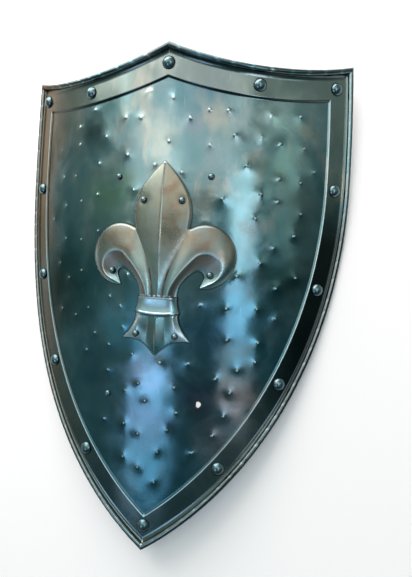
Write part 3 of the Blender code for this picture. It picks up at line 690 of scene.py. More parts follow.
def foot_rows(shares):
    """Rows across the right half of the flared foot, from under the collar to its points."""
    ridge_share = (NECK_RIDGE / NECK_HALF + 1) / 2
    lower_edge = [(0, FOOT_POINT_UP), *FOOT_PULLS, FOOT_TIP]
    rows = []
    for down in spaced(0, 1, FOOT_ROWS):
        row = []
        for share in shares:
            toward = min(1, share / ridge_share)
            beyond = max(0, (share - ridge_share) / (1 - ridge_share))
            valley = FOOT_VALLEY + (1 - FOOT_VALLEY) * abs(2 * toward - 1) ** 1.15
            end = bezier(lower_edge, share)
            top_up = FOOT_TOP_UP - COLLAR_BOW * (1 - share ** 2)
            across = FOOT_TOP_HALF * share + (end[0] - FOOT_TOP_HALF * share) * down ** FOOT_FLARE
            rib = max(0, 1 - across / RIB_HALF)
            high = RIDGE_HIGH * valley * (1 - beyond ** 1.5) * (1 - down ** 2) + RIB_HIGH * rib
            # Painted highlights along the centre rib and the side ridges
            crest = math.exp(-((share - ridge_share - 0.07) / 0.17) ** 2)
            wear_and_shading = max(1.3 * rib, 1.2 * crest)
            row.append((across, top_up + (end[1] - top_up) * down, high, wear_and_shading))
        rows.append(row)
    return rows


def dent(across, up):
    """How far the sheet is hammered in around the rivets of the centre petal, from 0 to 1."""
    return math.exp(-(math.dist((across, up), FLEUR_PINS[0]) / DENT_REACH) ** 2)


def fleur_sheet():
    """Points and faces of the pressed sheet, mirrored about its own centre line."""
    shares = neck_shares()
    lower = collar_rows(shares) + foot_rows(shares)
    base = GAP + FLEUR_SHEET
    points, faces = [], []
    for side in (1, -1):
        for rows in (lower[::-1], centre_petal(), side_petal()):
            quads = strip_faces(len(rows), len(rows[0]), first=len(points))
            faces += quads if side == 1 else [quad[::-1] for quad in quads]
            # Painted shade in the dents around the upper rivets
            points += [(FLEUR_ACROSS + side * x, y, base + max(0, z - DENT_DEEP * dent(x, y)),
                        wear_and_shading - 0.4 * dent(x, y)) for row in rows for x, y, z, wear_and_shading in row]
    return points, faces


# Plate


def nick_places(length, seed):
    """Places of the nicks along an edge of the rim."""
    chance = random.Random(seed)
    places, reached = [], chance.uniform(6, 14) * MM
    while reached < length - 5 * MM:
        places.append(reached)
        reached += chance.uniform(17, 28) * MM
    return places


def roll_rows(sheet):
    """Rows of points over the rolled rim, from where it leaves the border, over its crest and back under."""
    centre, inner = ring(ROLL_RADIUS, ROLL_RADIUS), ring(2 * ROLL_RADIUS, 2 * ROLL_RADIUS)
    right = TOP_COLUMNS + SIDE_COLUMNS
    along = lengths_along(centre + centre[:1])
    starts = [0, along[TOP_COLUMNS], along[right], along[right + SIDE_COLUMNS], along[-1]]
    nicks = [start + place for i, (start, end) in enumerate(zip(starts, starts[1:]))
             for place in nick_places(end - start, i)]
    first = -math.asin(ROLL_LIFT / ROLL_RADIUS)
    rows = []
    for angle in spaced(first, ROLL_END, ROLL_ROWS):
        reach = max(0, math.sin(min(math.pi, max(0, angle + 0.35)))) ** 0.5
        foot = ease(1 - angle / 0.35)
        row = []
        for i, ((x, y), (inner_x, inner_y)) in enumerate(zip(centre, inner)):
            here = along[i] + SLANT * (angle - math.pi / 2)
            near = min(abs(here - place) for place in nicks)
            nick = math.exp(-(near / sheet.nick_wide) ** 2) * reach
            shrink = 1 - nick * sheet.nick_deep / ROLL_RADIUS
            wave = 0.12 * MM * (1 + noise.noise(Vector((along[i] * 35, 0, 0)))) / ROLL_RADIUS
            across = x + (inner_x - x) * (math.cos(angle) * shrink + wave)
            up = y + (inner_y - y) * (math.cos(angle) * shrink + wave)
            high = BORDER_RISE + ROLL_LIFT + ROLL_RADIUS * math.sin(angle) * shrink
            on_top = i <= TOP_COLUMNS or i >= len(centre) - TOP_COLUMNS
            # On top the rim gets painted shade over its crest and at its foot, and is lighter at the nicks;
            # on the sides a painted highlight runs along the inside of the roll, with painted shade over its
            # outer side and at its foot
            if on_top:
                wear_and_shading = 0.8 * nick - 0.7 * reach - 0.8 * foot
            else:
                inside = math.exp(-((angle - 0.85) / 0.55) ** 4)
                wear_and_shading = 0.15 * nick + 0.4 * inside - 1.2 * ease((angle - 1.4) / 0.4) - 0.5 * foot
            row.append((across, up, high, wear_and_shading))
        rows.append(row)
    return rows


def border_rows():
    """Rows of points from the foot of the step, over the raised border, to the roll."""
    rows = []
    count = 2 * (TOP_COLUMNS + SIDE_COLUMNS)
    top = {i % count for i in range(1 - TOP_COLUMNS, TOP_COLUMNS)}
    for share in spaced(-STEP_OVER, 1 + STEP_OVER, STEP_ROWS):
        level = BORDER_RISE * ease((share - 0.5) * STEP_CRISP + 0.5)
        level_top = BORDER_RISE * ease((share - 0.5) * STEP_CRISP_TOP + 0.5)
        move = STEP_WIDTH * (0.5 - share)
        line = ring(BORDER_TOP + move, BORDER_SIDE + move)
        # A painted highlight runs along the step on the sides, and painted shade along the step at the top
        bright = math.exp(-((share - 0.8) / 0.18) ** 2)
        dark = -0.95 * math.exp(-((share - 0.45) / 0.45) ** 2)
        rows.append([(x, y, level_top, dark) if i in top else (x, y, level, bright)
                     for i, (x, y) in enumerate(line)])
    foot = ROLL_RADIUS * (1 + math.cos(math.asin(ROLL_LIFT / ROLL_RADIUS)))
    from_top = BORDER_TOP - STEP_WIDTH * (0.5 + STEP_OVER)
    from_side = BORDER_SIDE - STEP_WIDTH * (0.5 + STEP_OVER)
    for share in spaced(0, 1, BORDER_ROWS)[1:-1]:
        line = ring(from_top + (foot - from_top) * share, from_side + (foot - from_side) * share)
        rows.append([(x, y, BORDER_RISE, 0.0) for x, y in line])
    return rows


def hole_line():
    """Torn outline of the hole whose rivet is lost."""
    line = []
    for i in range(TORN_HOLE_CORNERS):
        angle = math.tau * i / TORN_HOLE_CORNERS
        reach = TORN_HOLE_RADIUS * (1 + 0.1 * math.sin(3 * angle + 1.1))
        line.append((STRAP_PIN_ACROSS + reach * math.cos(angle),
                     LOWER_STRAP_UP + reach * TORN_HOLE_STRETCH * math.sin(angle)))
    return line


def tree_of(places):
    tree = KDTree(len(places))
    for i, (across, up) in enumerate(places):
        tree.insert((across, up, 0), i)
    tree.balance()
    return tree


class Field:
    """The punched and hammered field inside the border."""

    def __init__(self, sheet, edge, hole, fleur):
        self.sheet = sheet
        self.edge = edge
        self.hole = hole
        self.marks = [(across * MM, up * MM) for across, up in PUNCHED]
        chance = random.Random(5)
        self.force = [chance.uniform(0.75, 1.15) for _ in self.marks]
        self.mark_tree = tree_of(self.marks)
        self.edge_tree = tree_of(edge)
        self.hole_tree = tree_of(hole)
        points, faces = fleur
        self.fleur = BVHTree.FromPolygons([(x, y, 0) for x, y, _, _ in points], faces)

    def beside_fleur(self, across, up):
        """Distance from the fleur-de-lis, 0 under it, at most FLEUR_NEAR."""
        found = self.fleur.find_nearest(Vector((across, up, 0)), FLEUR_NEAR)[3]
        return FLEUR_NEAR if found is None else found

    def point(self, across, up):
        """The field's point there, with its height, how worn it is at a punched point and the painted shadow
        in the seam around the fleur-de-lis.
        """
        high = self.sheet.unevenness * (noise.noise(Vector((across * 26, up * 19, 3)))
                                        + 0.35 * noise.noise(Vector((across * 60, up * 55, 8))))
        wear_and_shading = 0.0
        for _, index, distance in self.mark_tree.find_range((across, up, 0), self.sheet.mound_reach):
            mound = (1 - distance / self.sheet.mound_reach) ** 2
            point = max(0, 1 - distance / self.sheet.point_reach) ** 1.4
            high += self.force[index] * (self.sheet.mound_high * mound + self.sheet.point_high * point)
            wear_and_shading = max(wear_and_shading, point)
        beside = self.beside_fleur(across, up)
        under = ease((beside - FLEUR_BED) / FLEUR_FADE)
        edge = ease(self.edge_tree.find((across, up, 0))[2] / EDGE_FADE)
        # Painted shadow in the seam around the fleur-de-lis
        return across, up, high * under * edge, wear_and_shading - 1 + ease(beside / SEAM_SHADOW_WIDE)

    def inner_places(self):
        """Rings around each mark and the hole, a staggered grid between them, and a fine one in the seam."""
        places = []
        for i, (across, up) in enumerate(self.marks):
            places.append((across, up))
            for reach, count in MARK_RINGS:
                for k in range(count):
                    angle = math.tau * (k + reach / 2) / count
                    place = (across + reach * MM * math.cos(angle), up + reach * MM * math.sin(angle))
                    if self.mark_tree.find((*place, 0))[1] == i:
                        places.append(place)
        rows = round((PEAK_UP - TIP_UP) / FIELD_PITCH)
        columns = round(2 * HALF_WIDTH / FIELD_PITCH)
        for row in range(rows):
            for column in range(columns):
                place = ((column - columns / 2 + row % 2 / 2) * FIELD_PITCH, TIP_UP + row * FIELD_PITCH)
                if self.mark_tree.find((*place, 0))[2] > MARK_CLEAR:
                    places.append(place)
        for up in np.arange(FOOT_POINT_UP - 2 * SEAM_SHADOW_WIDE, FLEUR_TIP_UP + 2 * SEAM_SHADOW_WIDE, SEAM_PITCH):
            for across in np.arange(-FLEUR_REACH, FLEUR_REACH, SEAM_PITCH):
                if self.beside_fleur(across, up) < 2 * SEAM_SHADOW_WIDE:
                    around = [self.beside_fleur(across + x * SEAM_PITCH, up + y * SEAM_PITCH)
                              for x, y in ((-2, 0), (2, 0), (0, -2), (0, 2))]
                    if max(around) > 0:
                        places.append((float(across), float(up)))
        hole_place = (STRAP_PIN_ACROSS, LOWER_STRAP_UP)
        places = [place for place in places if self.edge_tree.find((*place, 0))[2] > EDGE_CLEAR
                  and self.hole_tree.find((*place, 0))[2] > HOLE_CLEAR
                  and math.dist(place, hole_place) > 3.2 * TORN_HOLE_RADIUS]
        middle = Vector(hole_place)
        for reach in HOLE_RINGS:
            places += [tuple(middle + (Vector(place) - middle) * reach) for place in self.hole]
        return places

    def triangles(self):
        """Points and triangles that join the edge, the hole and the places between them."""
        places = self.edge + self.hole + self.inner_places()
        first, last = len(self.edge), len(self.edge) + len(self.hole)
        around_hole = [(i, i + 1 if i + 1 < last else first) for i in range(first, last)]
        flat = [Vector(place) for place in places]
        _, _, faces, origins, _, _ = delaunay_2d_cdt(flat, around_hole, [list(range(first))], 1, 1e-7)
        found = [[origins[i][0] for i in face] for face in faces]
        kept = [face for face in found if not all(first <= i < last for i in face)]
        points = [(*place, 0.0, 0.0) for place in self.edge]
        points += [self.point(*place) for place in places[first:]]
        return points, kept


def make_plate(settings):
    """The one steel sheet: field, step, raised border and rolled rim."""
    rows = border_rows() + roll_rows(settings.sheet)
    edge = [(x, y) for x, y, _, _ in rows[0]]
    field_points, field_faces = Field(settings.sheet, edge, hole_line(), fleur_sheet()).triangles()
    count = len(edge)
    points = [point for row in rows for point in row]
    before = len(points) - count
    faces = strip_faces(len(rows), count, closed=True)
    faces += [[i if i < count else i + before for i in face] for face in field_faces]
    plate = sheet_mesh("plate_steel", points + field_points[count:], faces)
    for vertex in plate.data.vertices:
        vertex.co.z = max(vertex.co.z, 0)
    solidify(plate, SHEET)
    plate.modifiers["sheet"].material_offset = 1
    return plate


# Rivets


def side_rivet_places():
    """The corner rivet and those that follow it down the right side at an even pitch."""
    corner = right_edges(CORNER_RIVET_INSET, CORNER_RIVET_INSET)[1][0]
    side = right_edges(CORNER_RIVET_INSET, SIDE_RIVET_INSET)[1]
    return [corner] + points_at(side, [SIDE_RIVET_PITCH * i for i in range(1, SIDE_RIVETS + 1)])


def top_rivet_place():
    """On the inset top edge, at its own distance from the centre line."""
    upright = [(TOP_RIVET_ACROSS, PEAK_UP), (TOP_RIVET_ACROSS, 0)]
    return crossing(right_edges(TOP_RIVET_INSET, TOP_RIVET_INSET)[0], upright)[0]


def border_rivet_places():
    """Node, across and up of each rivet in the border."""
    places = [("border_rivet_peak", 0, PEAK_UP - PEAK_RIVET_DROP),
              ("border_rivet_tip", 0, TIP_UP + TIP_RIVET_RISE)]
    labels = ["top", "corner"] + ["side_%d" % i for i in range(1, SIDE_RIVETS + 1)]
    for label, (across, up) in zip(labels, [top_rivet_place()] + side_rivet_places()):
        places.append(("border_rivet_right_" + label, across, up))
        places.append(("border_rivet_left_" + label, -across, up))
    return places


def fleur_pin_places():
    """Node, across and up of each rivet in the fleur-de-lis."""
    places = []
    for label, (across, up) in zip(("upper", "middle", "lower"), FLEUR_PINS):
        places.append(("fleur_rivet_%s_right" % label, FLEUR_ACROSS + across, up))
        places.append(("fleur_rivet_%s_left" % label, FLEUR_ACROSS - across, up))
    return places


def dome(radius, high, count):
    """Profile of a domed head from its top on the axis to its rim."""
    ball = (radius ** 2 + high ** 2) / (2 * high)
    half = math.asin(min(1, radius / ball))
    return [(ball * math.sin(half * i / count), ball * math.cos(half * i / count) - ball + high)
            for i in range(count + 1)]


def rivet_profile(head, shank, tail, grip):
    """Head and tail as (radius, height), the underside of the head at 0, with a small lip under the dome."""
    lip = 0.4 * MM
    top = dome(head[0], head[1] - lip, 12)
    profile = [(x, z + lip) for x, z in top] + [(head[0], 0), (shank, 0), (shank, -grip)]
    end = dome(tail[0], tail[1], 5)
    return profile + [(x, -grip - z) for x, z in end[::-1]]


def turned(name, profile, matrix, seed):
    """Rivet turned from its profile, a little uneven from the hammer."""
    form = bmesh.new()
    rows = []
    for x, z in profile:
        row = []
        for k in range(RIVET_SIDES if x > MERGE else 1):
            angle = math.tau * k / RIVET_SIDES
            place = Vector((x * math.cos(angle), x * math.sin(angle), z))
            push = noise.noise(place * 110 + Vector((seed * 7.3, seed * 3.1, 0))) * RIVET_UNEVEN * (z > 0)
            row.append(form.verts.new(place * (1 - abs(push) / RIVET_HEAD_RADIUS)))
        rows.append(row)
    for upper, lower in zip(rows, rows[1:]):
        for k in range(RIVET_SIDES):
            ends = [upper[k % len(upper)], upper[(k + 1) % len(upper)],
                    lower[(k + 1) % len(lower)], lower[k % len(lower)]]
            form.faces.new(list(dict.fromkeys(ends))[::-1])
    piece = smooth_piece(name, form)
    piece.data.set_sharp_from_angle(angle=math.radians(50))
    piece.matrix_world = matrix
    return piece


def fleur_seat(tree, across, up):
    """Height of the fleur-de-lis under a small rivet's head."""
    heights = []
    for i in range(8):
        angle = math.tau * i / 8
        for reach in (0, PIN_HEAD_RADIUS / 2, PIN_HEAD_RADIUS):
            start = Vector((across + reach * math.cos(angle), up + reach * math.sin(angle), 1))
            hit = tree.ray_cast(start, Vector((0, 0, -1)))[0]
            if hit:
                heights.append(hit.z)
    return max(heights)


# Arm strap


def strap_line():
    """Side view of the strap's inner face, from its left end to its right end, as across and depth."""
    back = -SHEET - GAP
    inner = STRAP_PIN_ACROSS - STRAP_TAB_IN
    outer = STRAP_PIN_ACROSS + STRAP_TAB_OUT
    tab = [bend(across, 0, back) for across in spaced(-outer, -inner, TAB_ROWS)]
    leave = tab[-1] + (tab[-1] - tab[-2]).normalized() * STRAP_LEAVE
    low = back - STRAP_LOOP_DEEP
    turn = [tab[-1], leave, Vector((-STRAP_LOOP_FLAT, 0, low)), Vector((0, 0, low))]
    left = tab[:-1] + [Vector(bezier(turn, share)) for share in spaced(0, 1, LOOP_ROWS)]
    return left + [Vector((-point.x, 0, point.z)) for point in left[-2::-1]]


def make_strap():
    """Leather loop with rounded ends."""
    line = strap_line()
    along = lengths_along(line)
    form = bmesh.new()
    place_layer = form.verts.layers.float_vector.new("sheet")
    corners = []
    for place, reached in zip(line, along):
        short = max(0, 1 - min(reached, along[-1] - reached) / STRAP_CLIP)
        half = STRAP_WIDTH / 2 - STRAP_CLIP * (1 - math.sqrt(max(0, 1 - short ** 2)))
        for side in spaced(1, -1, STRAP_COLUMNS):
            corner = form.verts.new(REST @ Vector((place.x, UPPER_STRAP_UP + side * half, place.z)))
            corner[place_layer] = (reached, side * half, 0)
            corners.append(corner)
    for face in strip_faces(len(line), STRAP_COLUMNS + 1):
        form.faces.new([corners[i] for i in face])
    strap = smooth_piece("strap_leather_loop", form)
    solidify(strap, STRAP_THICK)
    soften(strap, 0.7 * MM, 60)
    return strap


# Finishes


class Nodes:
    """Shader nodes of one tree."""

    def __init__(self, tree):
        self.nodes = tree.nodes
        self.links = tree.links

    def put(self, socket, value):
        """Joins a socket to another, or sets its number or colour."""
        if isinstance(value, bpy.types.NodeSocket):
            self.links.new(value, socket)
        elif socket.type == "RGBA":
            socket.default_value = (*value, 1)
        else:
            socket.default_value = value

    def node(self, kind, inputs=None, **values):
        made = self.nodes.new(kind)
        for name, value in values.items():
            setattr(made, name, value)
        for name, value in (inputs or {}).items():
            self.put(made.inputs[name], value)
        return made

    def attribute(self, name, output="Vector"):
        return self.node("ShaderNodeAttribute", attribute_name=name).outputs[output]

    def laid(self, places, scale, turn=0):
        """Places turned in the sheet, then scaled, so that a pattern runs longer one way."""
        inputs = {"Vector": places, "Rotation": (0, 0, math.radians(turn)), "Scale": scale}
        return self.node("ShaderNodeMapping", inputs).outputs["Vector"]

    def cloud(self, places, scale, detail=4, distortion=0.0, seed=0.0):
        """Soft noise from 0 to 1."""
        inputs = {"Vector": places, "Scale": scale, "Detail": detail, "Distortion": distortion, "W": seed}
        return self.node("ShaderNodeTexNoise", inputs, noise_dimensions="4D").outputs[0]

    def rise(self, value, low, high, top=1.0):
        """Goes from 0 to top as a value goes from low to high."""
        inputs = {"Value": value, "From Min": low, "From Max": high, "To Max": top}
        return self.node("ShaderNodeMapRange", inputs, interpolation_type="SMOOTHSTEP").outputs["Result"]

    def combine(self, kind, first, second):
        return self.node("ShaderNodeMath", {0: first, 1: second}, operation=kind).outputs[0]

    def plus(self, first, second):
        return self.combine("ADD", first, second)

    def times(self, first, second):
        return self.combine("MULTIPLY", first, second)

    def towards(self, kind, places, point):
        """Distance of places from a point, or their reach along a direction."""
        return self.node("ShaderNodeVectorMath", {0: places, 1: point}, operation=kind).outputs["Value"]

    def blend(self, share, first, second):
        """Colour that goes from the first to the second."""
        mix = self.node("ShaderNodeMix", data_type="RGBA")
        sockets = {socket.identifier: socket for socket in (*mix.inputs, *mix.outputs)}
        for name, value in (("Factor_Float", share), ("A_Color", first), ("B_Color", second)):
            self.put(sockets[name], value)
        return sockets["Result_Color"]

    def parts(self, places):
        """Across, up and high of places."""
        return self.node("ShaderNodeSeparateXYZ", {0: places}).outputs


class Finish(Nodes):
    """One finish, a colour with shades laid over it, by places along the sheet."""

    def __init__(self, name, metallic, colour):
        self.surface = bpy.data.materials.new(name)
        self.surface.use_nodes = True
        super().__init__(self.surface.node_tree)
        self.shader = self.nodes["Principled BSDF"]
        self.set(Metallic=metallic)
        self.colour = colour

    def set(self, **inputs):
        """Joins or sets inputs of the shader, named with _ for a space."""
        for name, value in inputs.items():
            self.put(self.shader.inputs[name.replace("_", " ")], value)

    def lay(self, shade, share):
        """Lays a shade over the colour."""
        self.colour = self.blend(share, self.colour, shade)

    def tint(self, shade, value, low, high, top=1.0):
        """Lays a shade over the colour, more of it as a value goes from low to high."""
        self.lay(shade, self.rise(value, low, high, top))

    def raise_surface(self, height, distance, strength):
        inputs = {"Height": height, "Distance": distance, "Strength": strength}
        self.set(Normal=self.node("ShaderNodeBump", inputs).outputs["Normal"])

    def finish(self, roughness, coat=0.0, coat_roughness=0.1):
        self.set(Base_Color=self.colour, Roughness=roughness, Coat_Weight=coat, Coat_Roughness=coat_roughness)
        return self.surface


def blued_steel(colours):
    """Polished and blued, clouded teal, straw brown at the left edge, with specks, scratches and wear,
    painted highlights and shade along the step and the rim, and painted shadow around the fleur-de-lis.
    """
    steel = Finish("blued_steel", 1, colours.blued)
    sheet = steel.attribute("sheet")
    wear_and_shading = steel.attribute("wear_and_shading", "Fac")
    across, up, high = steel.parts(sheet)
    streaks = steel.cloud(steel.laid(sheet, (1, 0.4, 1), 4), 11, 5, 0.5, 1)
    clouds = steel.cloud(sheet, 26, 6, 0.8, 2)
    edge = steel.cloud(sheet, 13, 4, 0.3, 3)
    tints = steel.cloud(sheet, 15, 5, 0.7, 6)
    specks = steel.cloud(sheet, 420, 3, 0, 4)
    scratches = steel.cloud(steel.laid(sheet, (1, 0.035, 1), 38), 900, 2, 0, 5)
    creams = steel.cloud(steel.laid(sheet, (1, 0.45, 1), 12), 30, 6, 0.7, 8)
    steel.tint(colours.deep, streaks, 0.36, 0.64)
    steel.tint(colours.pale, clouds, 0.4, 0.85, 0.5)
    steel.tint(colours.teal, steel.plus(up, steel.times(tints, 0.25)), 0.24, -0.02, 0.7)
    steel.tint(colours.straw, tints, 0.52, 0.75, 0.5)
    steel.lay(colours.cream, steel.times(steel.rise(creams, 0.52, 0.68, 0.55), steel.rise(up, 0.0, 0.15)))
    aside = steel.plus(across, steel.times(steel.combine("MINIMUM", up, 0), 0.35))
    steel.tint(colours.straw, steel.plus(aside, steel.times(edge, 0.06)), -0.12, -0.175, 0.95)
    wobble = steel.times(steel.cloud(sheet, 24, 6, 0.5, 9), STAIN_WOBBLE)
    for at_across, at_up, reach, share, shade in STAINS:
        away = steel.towards("DISTANCE", sheet, (at_across * MM, at_up * MM, 0))
        steel.tint(shade, steel.plus(away, wobble), reach * MM + STAIN_FADE, STAIN_CORE, share)
    border = steel.rise(high, BORDER_RISE - 0.3 * MM, BORDER_RISE - 0.1 * MM)
    steel.lay(colours.olive, steel.times(border, steel.rise(up, 0.15, -0.1, 0.65)))
    flat = steel.times(border, steel.rise(high, BORDER_RISE + 1 * MM, BORDER_RISE + 0.2 * MM))
    steel.lay(colours.warm, steel.times(flat, steel.rise(up, 0.08, 0.18, 0.4)))
    # The middle of the right border is darker
    middle = steel.times(steel.rise(up, 0.17, 0.07), steel.rise(up, -0.19, -0.09, 0.97))
    right = steel.times(border, steel.rise(across, 0.10, 0.18))
    steel.lay(colours.right_border_dark, steel.times(right, middle))
    steel.tint(SPECK_SHADE, specks, 0.68, 0.76, 0.25)
    steel.tint(colours.bright, scratches, 0.68, 0.8, 0.3)
    # Light where worn at the punched points, with painted highlights on the step and the rim; painted shade
    # on the step, the rim and in the seam around the fleur-de-lis
    steel.tint(colours.bright, wear_and_shading, 0.05, 1.0, 0.9)
    steel.tint(colours.painted_shade, wear_and_shading, -0.05, -1.0, 0.85)
    rough = steel.plus(steel.rise(clouds, 0.35, 0.7, 0.12), steel.rise(wear_and_shading, 0, 0.8, 0.14))
    steel.raise_surface(clouds, 0.6 * MM, 0.4)
    steel.set(Specular_Tint=GRAZING_TINT)
    return steel.finish(steel.plus(rough, 0.16), 0.25, 0.12)


def back_steel(colours):
    """Plain blued steel of the plate's back, dull and a little clouded."""
    steel = Finish("back_steel", 1, colours.blued)
    sheet = steel.attribute("sheet")
    clouds = steel.cloud(sheet, 20, 5, 0.5, 11)
    steel.tint(colours.deep, clouds, 0.36, 0.66)
    steel.tint(colours.straw, steel.cloud(sheet, 46, 4, 0.5, 12), 0.55, 0.75, 0.5)
    steel.raise_surface(clouds, 0.6 * MM, 0.4)
    return steel.finish(steel.plus(steel.rise(clouds, 0.35, 0.7, 0.12), 0.3))


def fleur_steel(colours):
    """Warm burnished steel, cooler at the foot and the hooks, partly as a painted blue reflection, with
    copper stains, painted highlights on its ridges and edges, and brown patina and painted shade in its
    hollows and folds.
    """
    steel = Finish("fleur_steel", 1, colours.fleur)
    sheet = steel.attribute("sheet")
    wear_and_shading = steel.attribute("wear_and_shading", "Fac")
    across, up, _ = steel.parts(sheet)
    clouds = steel.cloud(sheet, 38, 6, 0.6, 1)
    fine = steel.cloud(sheet, 320, 4, 0, 2)
    stains = steel.cloud(sheet, 36, 3, 0.6, 3)
    brushed = steel.cloud(steel.laid(sheet, (1, 0.05, 1), -12), 700, 2, 0, 4)
    steel.tint(colours.fleur_green, steel.plus(across, steel.times(clouds, 0.03)), 0.03, 0.0, 0.5)
    aside = steel.combine("ABSOLUTE", steel.combine("SUBTRACT", across, FLEUR_ACROSS), 0)
    steel.tint(colours.fleur_brown, aside, 0.024, 0.04, 0.62)
    # Cooler lower down, partly as a painted blue reflection
    steel.tint(colours.fleur_cool, steel.plus(up, steel.times(clouds, 0.04)), 0.1, 0.0)
    steel.tint(colours.fleur_foot, up, -0.018, -0.021, 0.75)
    steel.tint(colours.blued, clouds, 0.45, 0.7, 0.4)
    steel.tint(colours.copper, stains, 0.5, 0.75, 0.65)
    steel.tint(FINE_DIRT_SHADE, fine, 0.62, 0.74, 0.35)
    steel.tint(colours.bright, brushed, 0.66, 0.8, 0.25)
    # Painted highlights on ridges, ribs, lips and edges; brown patina in the hollows, and painted shade in
    # the folds, the dents and around the collar
    steel.tint(colours.bright, wear_and_shading, 0.05, 1.0, 0.9)
    hollow = steel.rise(wear_and_shading, -0.02, -0.6, 0.8)
    steel.lay(colours.hollow, hollow)
    steel.tint(FOLD_PAINTED_SHADE, wear_and_shading, -0.5, -1.2, 0.9)
    steel.set(Metallic=steel.combine("SUBTRACT", 1, hollow))
    steel.raise_surface(steel.plus(clouds, steel.times(fine, 0.3)), 0.6 * MM, 0.4)
    return steel.finish(steel.plus(steel.rise(clouds, 0.3, 0.7, 0.14), 0.24), 0.2, 0.15)


def rivet_steel(colours):
    """Dark polished rivets, each a little stained, with painted shade at the foot of the head."""
    steel = Finish("rivet_steel", 1, colours.rivet)
    places = steel.node("ShaderNodeTexCoord").outputs["Object"]
    clouds = steel.cloud(places, 260, 5, 0.4, 1)
    fine = steel.cloud(places, 1500, 3, 0, 2)
    steel.tint(colours.deep, clouds, 0.4, 0.65, 0.7)
    steel.tint(RIVET_DIRT_SHADE, fine, 0.6, 0.75, 0.4)
    # Painted shade at the foot of each rivet's head
    steel.tint(RIVET_FOOT_PAINTED_SHADE, steel.parts(places)[2], 1.7 * MM, 0.3 * MM, 0.9)
    steel.raise_surface(fine, 0.2 * MM, 0.3)
    return steel.finish(steel.plus(steel.rise(clouds, 0.35, 0.7, 0.15), 0.16))


def strap_leather(colours):
    """Dark brown leather with grain, creases and paler worn edges."""
    hide = Finish("strap_leather", 0, colours.leather)
    sheet = hide.attribute("sheet")
    mottle = hide.cloud(sheet, 60, 5, 0.5, 1)
    grain = hide.node("ShaderNodeTexVoronoi", {"Vector": sheet, "Scale": 900}, feature="DISTANCE_TO_EDGE")
    creases = hide.cloud(hide.laid(sheet, (1, 0.12, 1)), 160, 4, 0.4, 2)
    hide.tint(LEATHER_DARK_SHADE, mottle, 0.35, 0.7)
    aside = hide.combine("ABSOLUTE", hide.parts(sheet)[1], 0)
    hide.tint(colours.leather_worn, aside, 16.5 * MM, 19 * MM, 0.6)
    hide.tint(CREASE_SHADE, creases, 0.62, 0.72, 0.5)
    height = hide.combine("SUBTRACT", hide.rise(grain.outputs["Distance"], 0, 0.12), creases)
    hide.raise_surface(height, 0.4 * MM, 0.5)
    return hide.finish(hide.plus(hide.rise(mottle, 0.3, 0.7, 0.2), 0.48))


# Operators


class SHIELD_OT_plate(bpy.types.Operator):
    """Forms the plate with its punched field, raised border and rolled rim"""

    bl_idname = "shield.plate"
    bl_label = "Plate"

    def execute(self, context):
        settings = context.scene.shield
        plate = make_plate(settings)
        dress(plate, blued_steel(settings.colours), "blued_steel", "shield_plate")
        plate.data.materials.append(back_steel(settings.colours))
        return {"FINISHED"}


class SHIELD_OT_fleur(bpy.types.Operator):
    """Presses the fleur-de-lis"""

    bl_idname = "shield.fleur"
    bl_label = "Fleur-de-lis"

    def execute(self, context):
        fleur = sheet_mesh("fleur_sheet", *fleur_sheet())
        fleur.data.set_sharp_from_angle(angle=math.radians(24))
        solidify(fleur, FLEUR_SHEET)
        dress(fleur, fleur_steel(context.scene.shield.colours), "fleur_steel", "fleur_de_lis")
        return {"FINISHED"}


class SHIELD_OT_rivets(bpy.types.Operator):
    """Turns the rivets of the border, the arm straps and the fleur-de-lis"""

    bl_idname = "shield.rivets"
    bl_label = "Rivets"

    def execute(self, context):
        surface = rivet_steel(context.scene.shield.colours)
        points, faces = fleur_sheet()
        tree = BVHTree.FromPolygons([point[:3] for point in points], faces)
        big = ((RIVET_HEAD_RADIUS, RIVET_HEAD_HIGH), RIVET_SHANK_RADIUS,
               (RIVET_TAIL_RADIUS, RIVET_TAIL_HIGH))
        small = ((PIN_HEAD_RADIUS, PIN_HEAD_HIGH), PIN_SHANK_RADIUS, (PIN_TAIL_RADIUS, PIN_TAIL_HIGH))
        rivets = [(node, across, up, BORDER_RISE + GAP, SHEET + 2 * GAP, big)
                  for node, across, up in border_rivet_places()]
        held = SHEET + GAP + STRAP_THICK
        for label, across, up, grip in (("upper_left", -STRAP_PIN_ACROSS, UPPER_STRAP_UP, held),
                                        ("upper_right", STRAP_PIN_ACROSS, UPPER_STRAP_UP, held),
                                        ("lower_left", -STRAP_PIN_ACROSS, LOWER_STRAP_UP, SHEET)):
            rivets.append(("strap_rivet_" + label, across, up, GAP, 2 * GAP + grip, small))
        for node, across, up in fleur_pin_places():
            high = fleur_seat(tree, across, up) + GAP
            rivets.append((node, across, up, high, high + GAP + SHEET, small))
        for i, (node, across, up, high, grip, form) in enumerate(rivets):
            profile = rivet_profile(*form, grip)
            rivet = turned("polished_" + node, profile, seat(across, up, high), i)
            dress(rivet, surface, "rivet_steel", node)
        return {"FINISHED"}


class SHIELD_OT_strap(bpy.types.Operator):
    """Forms the leather arm strap behind the plate"""

    bl_idname = "shield.strap"
    bl_label = "Arm strap"

    def execute(self, context):
        dress(make_strap(), strap_leather(context.scene.shield.colours), "strap_leather", "arm_strap")
        return {"FINISHED"}


